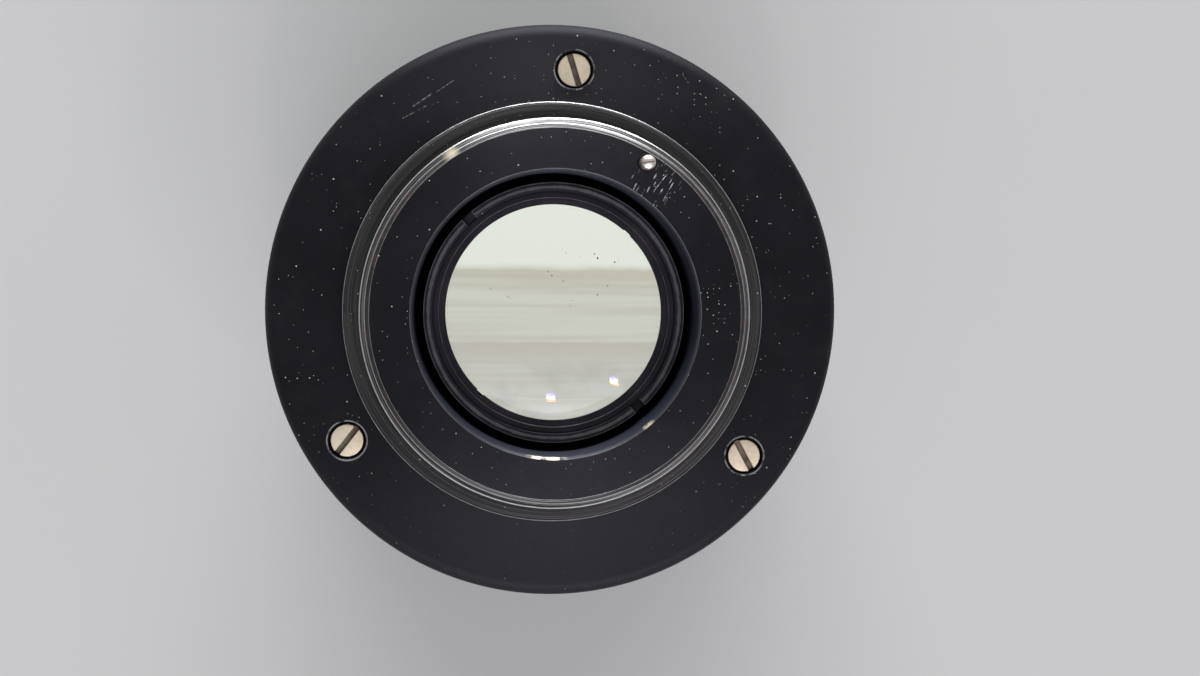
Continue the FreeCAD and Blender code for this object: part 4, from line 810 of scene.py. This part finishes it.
def pinSpring():
    wire, sides = coil["wire"], coil["sides"]
    start, end = coil["base"] + wire, coil["top"] - wire
    steps = coil["turns"] * coil["stepsPerTurn"]
    mesh = bmesh.new()
    rings = []
    for step in range(steps + 1):
        share = step / steps
        turn = 2 * math.pi * coil["turns"] * share
        ring = []
        for side in range(sides):
            lean = 2 * math.pi * side / sides
            away = coil["radius"] + wire * math.cos(lean)
            up = start + (end - start) * share + wire * math.sin(lean)
            ring.append(mesh.verts.new((away * math.cos(turn) * mm, away * math.sin(turn) * mm, up * mm)))
        rings.append(ring)
    for first, second in zip(rings, rings[1:]):
        for side in range(sides):
            after = (side + 1) % sides
            mesh.faces.new((first[side], first[after], second[after], second[side]))
    mesh.faces.new(rings[0][::-1])
    mesh.faces.new(rings[-1])
    seat = spot(mount["pinPlace"], mount["pinTurn"])
    spring = smoothed(moved(pieceOf("pinSpring", mesh), seat), 40)
    dress(spring, finishes["spring"], "lens_body", "nickel_steel", "pin_spring")
    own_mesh(spring)


pinSpring()
print("screws, pin and spring set")


# rear cell and its retaining ring

rear = {"front": lowest("rear_cell"), "shoulder": 37.36, "top": highest("rear_cell"), "neck": 14.6,
        "rim": 16.0, "rimThick": 1.5, "wall": 14.3, "ringBore": 13.3, "ringSeat": 50.59, "glassBore": 12.8,
        "glassSeat": 44.23, "pairBore": 12.4, "pairSeat": 36.46, "frontBore": 10.8,
        "slotTurns": (131.9, 311.9), "slotWidth": 1.4, "slotDepth": 0.9, "notchTurns": (47.3, 227.3),
        "ringInner": 11.9, "ringStep": 12.6, "notchWidth": 1.0}


def rearCell():
    r = rear
    top, step = r["top"], r["shoulder"]
    outline = [(r["frontBore"], r["front"]), (r["neck"], r["front"]), (r["neck"], step), (r["rim"], step),
               (r["rim"], step + r["rimThick"]), (r["wall"], step + r["rimThick"]), (r["wall"], top),
               (r["ringBore"], top), (r["ringBore"], r["ringSeat"]), (r["glassBore"], r["ringSeat"]),
               (r["glassBore"], r["glassSeat"]), (r["pairBore"], r["glassSeat"]),
               (r["pairBore"], r["pairSeat"]), (r["frontBore"], r["pairSeat"])]
    cell = lathe("rearCell", softCorners(outline, 0.07, 3), 224)
    cutters = []
    half, floor = r["slotWidth"] / 2, top - r["slotDepth"]
    for turn in r["slotTurns"]:
        bar = prism("rimSlot", [(-half, floor), (half, floor), (half, top + 1), (-half, top + 1)], 3.4)
        cutters.append(moved(bar, spot(13.8, turn), turn))
    carved(cell, cutters)
    dress(smoothed(cell, 30), finishes["inner"], "optical_unit", "black_anodised", "rear_cell")
    low = lowest("rear_retaining_ring")
    high = highest("rear_retaining_ring")
    shelf = (low + high) / 2
    outline = [(r["ringInner"], low), (r["ringBore"], low), (r["ringBore"], high), (r["ringStep"], high),
               (r["ringStep"], shelf), (r["ringInner"], shelf)]
    ring = lathe("rearRetainingRing", softCorners(outline, 0.05, 3), 224)
    cutters = []
    half = r["notchWidth"] / 2
    for turn in r["notchTurns"]:
        notch = prism("notch", [(-half, low - 1), (half, low - 1), (half, high + 1), (-half, high + 1)], 1.35)
        cutters.append(moved(notch, spot(11.575, turn), turn))
    carved(ring, cutters)
    dress(smoothed(ring, 30), finishes["blackBrass"], "optical_unit", "black_brass", "rear_retaining_ring")


rearCell()
print("rear cell turned")


# glass: four closed bodies; the two cemented pairs are one each. The heights of a rim are measured from
# the two poles of its lens

glass = {
    "frontMeniscus": {"nodes": ["front_meniscus"], "finish": "glass", "curves": (32.6, 88.3),
                      "clear": (16.4, 16.4), "edge": 16.5, "front": lowest("front_meniscus"),
                      "back": lowest("front_meniscus") + 5.075, "rim": (4.55, 1.475)},
    "frontDoublet": {"nodes": ["front_doublet_outer", "front_doublet_inner"], "finish": "glass",
                     "curves": (21.85, 14.05), "clear": (13.92, 10.3), "edge": 14.0,
                     "front": lowest("front_doublet_outer"), "back": lowest("front_doublet_outer") + 9.45,
                     "rim": (5.12, 4.5)},
    "rearDoublet": {"nodes": ["rear_doublet_inner", "rear_doublet_outer"], "finish": "glass",
                    "curves": (-16.46, -22.0), "clear": (9.5, 12.35), "edge": 12.4,
                    "front": highest("rear_doublet_outer") - 8.58, "back": highest("rear_doublet_outer"),
                    "rim": (lowest("rear_doublet_inner") - highest("rear_doublet_outer") + 8.58, -3.87)},
    "rearBiconvex": {"nodes": ["rear_biconvex"], "finish": "rearGlass", "curves": (102.9, -46.1),
                     "clear": (12.72, 12.72), "edge": 12.8, "front": lowest("rear_biconvex"),
                     "back": highest("rear_biconvex"), "rim": (0.85, -1.86)},
}


def glasses():
    for name, g in glass.items():
        outline = bowl(g["front"], g["curves"][0], 0, g["clear"][0])
        outline += [(g["edge"], g["front"] + g["rim"][0]), (g["edge"], g["back"] + g["rim"][1])]
        outline += bowl(g["back"], g["curves"][1], g["clear"][1], 0)
        piece = smoothed(lathe(name, outline, 192), 25)
        dress(piece, [finishes[g["finish"]], finishes["glassEdge"]], "optical_unit", "lens_glass",
              *g["nodes"])
        for face in piece.data.polygons:
            flat = abs(face.normal.z) > 0.9999 and min(math.hypot(*piece.data.vertices[v].co[:2])
                                                       for v in face.vertices) > 0.009
            face.material_index = int(abs(face.normal.z) < 0.3 or flat)


glasses()
print("glass ground")


# grip rings: a turned body, and ribs that the tree repeats round it

def rib(name, radius, count, groove, sink, low, high):
    half = math.pi / count - math.asin(groove / 2 / radius)
    outline = []
    for step in range(9):
        angle = -half + 2 * half * step / 8
        reach = radius - (0.14 if step in (0, 8) else 0.03 if step in (1, 7) else 0.0)
        outline.append((reach * math.cos(angle), reach * math.sin(angle)))
    outline += [((radius - sink) * math.cos(half), (radius - sink) * math.sin(half)),
                ((radius - sink) * math.cos(half), -(radius - sink) * math.sin(half))]
    bar = prism(name, outline, high - low, "Z")
    return moved(bar, Vector((0, 0, (high + low) / 2)))


focus = {"edge": outer("focus_ring"), "front": lowest("focus_ring"), "back": highest("focus_ring"),
         "bore": 27.8, "frontBore": 27.3, "nutBore": 28.7, "nutLength": 1.95, "grip": (11.5, 23.0),
         "ribs": 42, "groove": 1.5, "depth": 0.8, "band": 31.7, "travel": 8.0, "turn": 260.0, "index": 239.2,
         "focalLength": 58.0}


def focusRing():
    f = focus
    floor = f["edge"] - f["depth"]
    low, high = f["grip"]
    nut = lowest("focus_helicoid")
    outline = [(f["nutBore"], nut), (f["nutBore"], nut + f["nutLength"]), (f["bore"], nut + f["nutLength"]),
               (f["bore"], f["back"]), (f["band"] - 0.8, f["back"]), (f["band"], f["back"] - 1.5),
               (f["band"], high + 1.0),
               (f["edge"], high + 0.5), (f["edge"], high), (floor, high), (floor, low), (f["edge"], low),
               (f["edge"], f["front"] + 1.0), (f["edge"] - 1.0, f["front"]), (f["frontBore"], f["front"]),
               (f["frontBore"], nut)]
    ring = lathe("focusRing", softCorners(outline, 0.10, 3), 252)
    bar = rib("focusRib", f["edge"], f["ribs"], f["groove"], f["depth"] + 0.2, low - 0.05, high + 0.05)
    repeated(ring, ringRepeat, bar, finishes["ring"], f["ribs"], 180.0 / f["ribs"])
    dress(smoothed(ring, 30), finishes["ring"], "focus_control", "ring_black", "focus_ring")


stops = {"edge": outer("aperture_ring"), "front": lowest("aperture_ring"), "back": highest("aperture_ring"),
         "bore": 29.1, "ribs": 36, "groove": 1.4, "depth": 0.7, "grip": (43.3, 46.9), "step": 8.0,
         "marks": ("2", "2.8", "4", "5.6", "8", "11", "16")}


def apertureRing():
    a = stops
    floor = a["edge"] - a["depth"]
    low, high = a["grip"]
    outline = [(a["bore"], a["front"]), (a["edge"] - 0.9, a["front"]), (a["edge"], a["front"] + 1.4),
               (a["edge"], low), (floor, low), (floor, high), (a["edge"], high), (a["edge"], a["back"] - 0.4),
               (a["edge"] - 0.4, a["back"]), (a["bore"], a["back"])]
    ring = lathe("apertureRing", softCorners(outline, 0.08, 3), 252)
    bar = rib("apertureRib", a["edge"], a["ribs"], a["groove"], a["depth"] + 0.2, low - 0.05, high + 0.05)
    repeated(ring, ringRepeat, bar, finishes["ring"], a["ribs"], 180.0 / a["ribs"])
    dress(smoothed(ring, 30), finishes["ring"], "aperture_control", "ring_black", "aperture_ring")


focusRing()
apertureRing()


filterRing = {"edge": outer("filter_ring"), "back": highest("filter_ring"), "bore": 24.0, "ledge": 5.0,
              "lip": 25.35, "mouth": 26.4, "threadRadius": 26.0, "pitch": 0.75, "depth": 0.32, "start": 0.4,
              "end": 3.8, "relief": 26.35, "reliefEnd": 4.4}
nameRing = {"radius": 25.3, "front": 3.9, "bore": 16.9, "boreFront": 6.6, "boreBack": 7.4, "steps": 12,
            "stepWidth": 0.69, "stepRise": 0.2215}


def fixedRings():
    low, high, edge = lowest("depth_scale_ring"), highest("depth_scale_ring"), outer("depth_scale_ring")
    outline = [(27.5, low), (edge, low), (edge, high - 0.8), (edge - 0.8, high), (27.5, high)]
    ring = lathe("depthScaleRing", softCorners(outline, 0.08, 3), 224)
    dress(smoothed(ring, 30), finishes["scale"], "lens_body", "black_anodised", "depth_scale_ring")

    f = filterRing
    outline = [(f["mouth"], 0.0), (f["edge"] - 0.3, 0.0), (f["edge"], 0.3), (f["edge"], f["back"]),
               (f["bore"], f["back"]), (f["bore"], f["ledge"]), (f["lip"], f["ledge"]),
               (f["lip"], f["reliefEnd"]), (f["relief"], f["reliefEnd"]), (f["relief"], f["end"])]
    outline += threadRows(f["threadRadius"], f["start"], f["end"], f["pitch"], 8)[::-1]
    shift = threadShift(f["start"], f["end"], f["threadRadius"], f["pitch"], f["depth"], True)
    ring = lathe("filterRing", softCorners(outline, 0.06, 2), 288, shift)
    dress(smoothed(ring, 30), finishes["scale"], "optical_unit", "black_anodised", "filter_ring")

    n = nameRing
    steps = [(n["radius"], n["front"])]
    for step in range(1, n["steps"] + 1):
        inner, depth = n["radius"] - n["stepWidth"] * step, n["front"] + n["stepRise"] * step
        steps += [(inner + 0.12, depth - 0.17), (inner, depth)]
    outline = [(n["bore"], n["boreBack"]), (f["bore"], f["ledge"]), (n["radius"], f["ledge"])]
    outline += steps + [(n["bore"], n["boreFront"])]
    ring = lathe("nameRing", softCorners(outline, 0.03, 1), 224)
    dress(smoothed(ring, 26), finishes["scale"], "optical_unit", "black_anodised", "name_ring")


fixedRings()
print("rings turned")


# numbers and marks, laid round their rings with their tops towards the front

def letters(name, words, radius, raised=0.025, thick=0.12, strip=0.3):
    mesh = bmesh.new()
    for text, size, turn, height in words:
        curve = bpy.data.curves.new("letter", "FONT")
        curve.body = text
        curve.size = size
        curve.align_x = "CENTER"
        curve.align_y = "CENTER"
        curve.offset = 0.02 * size
        curve.resolution_u = 4
        holder = newObject("letter", curve)
        flat = bpy.data.meshes.new_from_object(holder.evaluated_get(bpy.context.evaluated_depsgraph_get()))
        bpy.data.objects.remove(holder)
        part = bmesh.new()
        part.from_mesh(flat)
        bmesh.ops.remove_doubles(part, verts=part.verts, dist=1e-5)
        for step in range(-9, 10):  # narrow strips, which follow the curve of the ring
            bmesh.ops.bisect_plane(part, geom=part.verts[:] + part.edges[:] + part.faces[:], dist=1e-6,
                                   plane_co=(step * strip, 0, 0), plane_no=(1, 0, 0))
        skirt = bmesh.ops.extrude_face_region(part, geom=part.faces[:])
        for item in skirt["geom"]:
            if isinstance(item, bmesh.types.BMVert):
                item.co.z = -thick
        for vert in part.verts:
            angle = math.radians(turn) - vert.co.x / radius
            reach = radius + raised + vert.co.z
            vert.co = Vector((reach * math.cos(angle), reach * math.sin(angle), height - vert.co.y)) * mm
        bmesh.ops.recalc_face_normals(part, faces=part.faces)
        part.to_mesh(flat)
        part.free()
        mesh.from_mesh(flat)
    return pieceOf(name, mesh, False)


def bars(name, marks, radius, raised=0.025, thick=0.12):
    mesh = bmesh.new()
    for turn, low, high, width in marks:
        rows = []
        for height in (low, high):
            for side in (-0.5, 0.5):
                angle = math.radians(turn) + side * width / radius
                for reach in (radius - thick, radius + raised):
                    rows.append(mesh.verts.new((reach * math.cos(angle) * mm, reach * math.sin(angle) * mm,
                                                height * mm)))
        for corners in ((0, 1, 3, 2), (4, 5, 7, 6), (0, 1, 5, 4), (2, 3, 7, 6), (0, 2, 6, 4), (1, 3, 7, 5)):
            mesh.faces.new([rows[corner] for corner in corners])
    return pieceOf(name, mesh)


marks = {"distances": ("∞", "10", "5", "3", "2", "1.5", "1.2", "1", "0.9", "0.8", "0.7", "0.6"),
         "depthStops": (4, 8, 16), "betweenStops": (2, 5.6, 11), "turnPerStop": 0.975}


def scales():
    index, lens = focus["index"], focus["focalLength"]
    words, ticks = [], []
    for text in marks["distances"]:
        out = 0.0 if text == "∞" else lens ** 2 / (1000.0 * float(text) - 2 * lens)
        turn = index - focus["turn"] * out / focus["travel"]
        words.append((text, 2.7 if text == "∞" else 2.1, turn, 27.6))
        ticks.append((turn, 29.3, 30.3, 0.22))
    dress(letters("focusNumbers", words, focus["band"]), finishes["white"], "focus_control", "ring_black")
    dress(bars("focusTicks", ticks, focus["band"]), finishes["white"], "focus_control", "ring_black")

    words = [(text, 2.2, index - stops["step"] * step, 41.6) for step, text in enumerate(stops["marks"])]
    ticks = [(index - stops["step"] * step, 40.05, 40.35, 0.3) for step in range(len(stops["marks"]))]
    dress(letters("apertureNumbers", words, stops["edge"]), finishes["white"], "aperture_control",
          "ring_black")
    dress(bars("apertureTicks", ticks, stops["edge"]), finishes["white"], "aperture_control", "ring_black")

    words, ticks = [], []
    for stop in marks["depthStops"]:
        for side in (-1, 1):
            turn = index + side * marks["turnPerStop"] * stop
            words.append((str(stop), 1.7, turn + side * (0.9 if stop < 8 else 0.0), 35.6))
            ticks.append((turn, 32.6, 33.9, 0.2))
    ticks += [(index + side * marks["turnPerStop"] * stop, 32.6, 33.3, 0.16)
              for stop in marks["betweenStops"] for side in (-1, 1)]
    radius = outer("depth_scale_ring")
    dress(letters("depthNumbers", words, radius), finishes["white"], "lens_body", "black_anodised")
    dress(bars("depthTicks", ticks, radius), finishes["white"], "lens_body", "black_anodised")
    dress(bars("indexLine", [(index, 32.5, 37.3, 0.35)], radius), finishes["red"], "lens_body",
          "black_anodised")


scales()
print("scales engraved")


# nodes that keep their shape get the finish of their metal

cadFinishes = {
    "fixed_barrel": "baffle", "optical_barrel": "baffle", "front_cell": "inner", "iris_housing": "baffle",
    "iris_cover": "baffle", "rear_spacer": "baffle", "front_doublet_ring": "baffle",
    "front_retaining_ring": "inner", "helicoid_lock_ring": "blackBrass", "preset_ring": "scale",
    "straight_keys": "brass", "focus_helicoid": "brass", "iris_drive_ring": "brass",
    "key_screws": "nickel", "focus_stop_screw": "nickel", "focus_grub_screws": "nickel",
    "bracket_screws": "nickel", "preset_screw": "nickel", "crank_pivot": "steel", "click_ball": "steel",
    "click_spring": "spring", "pin_bracket": "spring", "stop_down_crank": "spring",
    **{"iris_blade_%d" % number: "blade" for number in range(1, 7)},
}
for node, finish in cadFinishes.items():
    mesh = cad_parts[node].data
    mesh.materials.clear()
    mesh.materials.append(finishes[finish])
print("kept nodes finished")


# floor

room = {"floorSize": 4000.0, "floorColour": 0.59, "worldLight": 0.31, "behindGlass": 1.03, "lampSpread": 90.0,
        "bandsStart": -8.0, "bandsReach": 13.0,
        "bands": [(0.0, 0.62, 0.62, 0.60), (0.24, 0.58, 0.575, 0.55), (0.30, 0.53, 0.505, 0.475),
                  (0.332, 0.515, 0.485, 0.445), (0.348, 0.61, 0.61, 0.555), (0.54, 0.62, 0.62, 0.56),
                  (0.565, 0.545, 0.525, 0.465), (0.585, 0.60, 0.595, 0.53), (0.607, 0.56, 0.545, 0.48),
                  (0.626, 0.545, 0.515, 0.455), (0.637, 0.66, 0.67, 0.62), (0.656, 0.775, 0.80, 0.76),
                  (1.0, 0.79, 0.815, 0.78)]}


# pale floor; for rays that come through the glass it glows instead, with soft painted bands that stand in for
# the room seen through the lens

def floorFinish():
    paint = Paint("pale floor")
    position = paint.position()
    x, y, z = paint.parts(position)
    cloudy = paint.noise(position, 0.012, 3.0)
    grain = paint.noise(position, 0.4, 3.0)
    level = room["floorColour"]
    base = paint.blend(cloudy, colour(level * 0.97, level * 0.97, level * 0.96),
                       colour(level * 1.02, level * 1.02, level * 1.025))
    matt = paint.surface(baseColor=base, roughness=0.75 + grain * 0.1)
    streak = paint.noise(paint.joined(x * 0.05, y * 2.0, 0.0), 1.0, 2.0)
    cloud = paint.noise(paint.joined(x * 0.5, y * 0.5, 0.0), 1.0, 3.0)
    height = (y + (cloud - 0.5) * 0.35 - room["bandsStart"]) / room["bandsReach"]
    seen = paint.add("ValToRGB", {"stops": [(place, colour(*tint)) for place, *tint in room["bands"]]},
                     {0: height})
    below = 1 - height.ramped(0.62, 0.65)
    seen = paint.blend(below * (streak.ramped(0.42, 0.66) * 0.45), seen, colour(0.49, 0.455, 0.40))
    seen = paint.blend((1 - height.ramped(0.22, 0.30)) * cloud.ramped(0.44, 0.66) * 0.55, seen,
                       colour(0.46, 0.45, 0.44))
    # painted image of the room: the floor glows with these bands, streaks and clouds for rays that come
    # through the glass
    through = paint.add("Emission", None, {"Color": seen, "Strength": room["behindGlass"]})
    rays = paint.add("LightPath", out="Is Transmission Ray")
    return paint.done(paint.add("MixShader", None, {0: rays, 1: matt, 2: through}))


def stageFloor():
    half = room["floorSize"] / 2 * mm
    mesh = bpy.data.meshes.new("floor")
    corners = [(-half, -half, 0), (half, -half, 0), (half, half, 0), (-half, half, 0)]
    mesh.from_pydata(corners, [], [(0, 1, 2, 3)])
    floor = newObject("floor", mesh)
    mesh.materials.append(floorFinish())


stageFloor()


# camera, at the photograph's viewing angle

# the target is shown at one point of the frame, so the camera turns aside from it and needs no shift

view = {"eye": Vector((-8.57, 7.33, 239.85)), "target": Vector((0, 0, 48.9)), "lens": 51.39, "sensor": 36.0,
        "shown": Vector((552.74, 311.69)), "frame": Vector((1200, 676))}


def facing(direction):
    back = -direction.normalized()
    right = Vector((0, 1, 0)).cross(back).normalized()
    return Matrix((right, back.cross(right), back)).transposed()


def camera():
    data = bpy.data.cameras.new("camera")
    data.lens = view["lens"]
    data.sensor_width = view["sensor"]
    data.clip_start = 0.01
    data.clip_end = 10.0
    eye = newObject("camera", data)
    focal = view["lens"] / view["sensor"] * view["frame"].x
    aside = (view["shown"] - view["frame"] / 2) / focal
    turn = facing(view["target"] - view["eye"]) @ facing(Vector((aside.x, -aside.y, -1))).transposed()
    eye.matrix_world = Matrix.Translation(view["eye"] * mm) @ turn.to_4x4()
    bpy.context.scene.camera = eye


camera()


# lamps: each one's place in millimetres, size, power in watts and colour

lamps = {
    "window": ((60, 1500, 400), (1700, 700), 12.0, (0.98, 0.99, 1.0)),
    "backFill": ((40, -600, 660), (1000, 460), 1.3, (0.96, 0.97, 1.0)),
    "spotOne": ((13, -221, 440), (19, 9), 0.012, (1.0, 0.97, 0.92)),
    "spotOneCool": ((11, -212, 440), (19, 7), 0.0045, (0.22, 0.10, 1.0)),
    "spotOneWarm": ((15, -230, 440), (19, 7), 0.0035, (1.0, 0.25, 0.0)),
    "spotTwo": ((169, -187, 440), (19, 9), 0.012, (1.0, 0.97, 0.92)),
    "spotTwoCool": ((164, -178, 440), (19, 7), 0.0045, (0.22, 0.10, 1.0)),
    "spotTwoWarm": ((174, -196, 440), (19, 7), 0.0035, (1.0, 0.25, 0.0)),
}


def lights():
    for name, (place, size, power, tint) in lamps.items():
        data = bpy.data.lights.new(name, "AREA")
        data.shape = "RECTANGLE"
        data.size, data.size_y = size[0] * mm, size[1] * mm
        data.energy = power
        data.spread = math.radians(room["lampSpread"])
        data.color = tint
        lamp = newObject(name, data)
        aim = facing(Vector((0, 0, 45)) - Vector(place)).to_4x4()
        lamp.matrix_world = Matrix.Translation(Vector(place) * mm) @ aim
    world = bpy.data.worlds.new("room")
    world.use_nodes = True
    world.node_tree.nodes["Background"].inputs["Color"].default_value = colour(0.98, 0.99, 1.0)
    world.node_tree.nodes["Background"].inputs["Strength"].default_value = room["worldLight"]
    bpy.context.scene.world = world


lights()
scene = bpy.context.scene
scene.view_settings.view_transform = "Standard"
scene.cycles.transparent_max_bounces = 16
scene.cycles.max_bounces = 24
scene.cycles.transmission_bounces = 20
print("stage set")
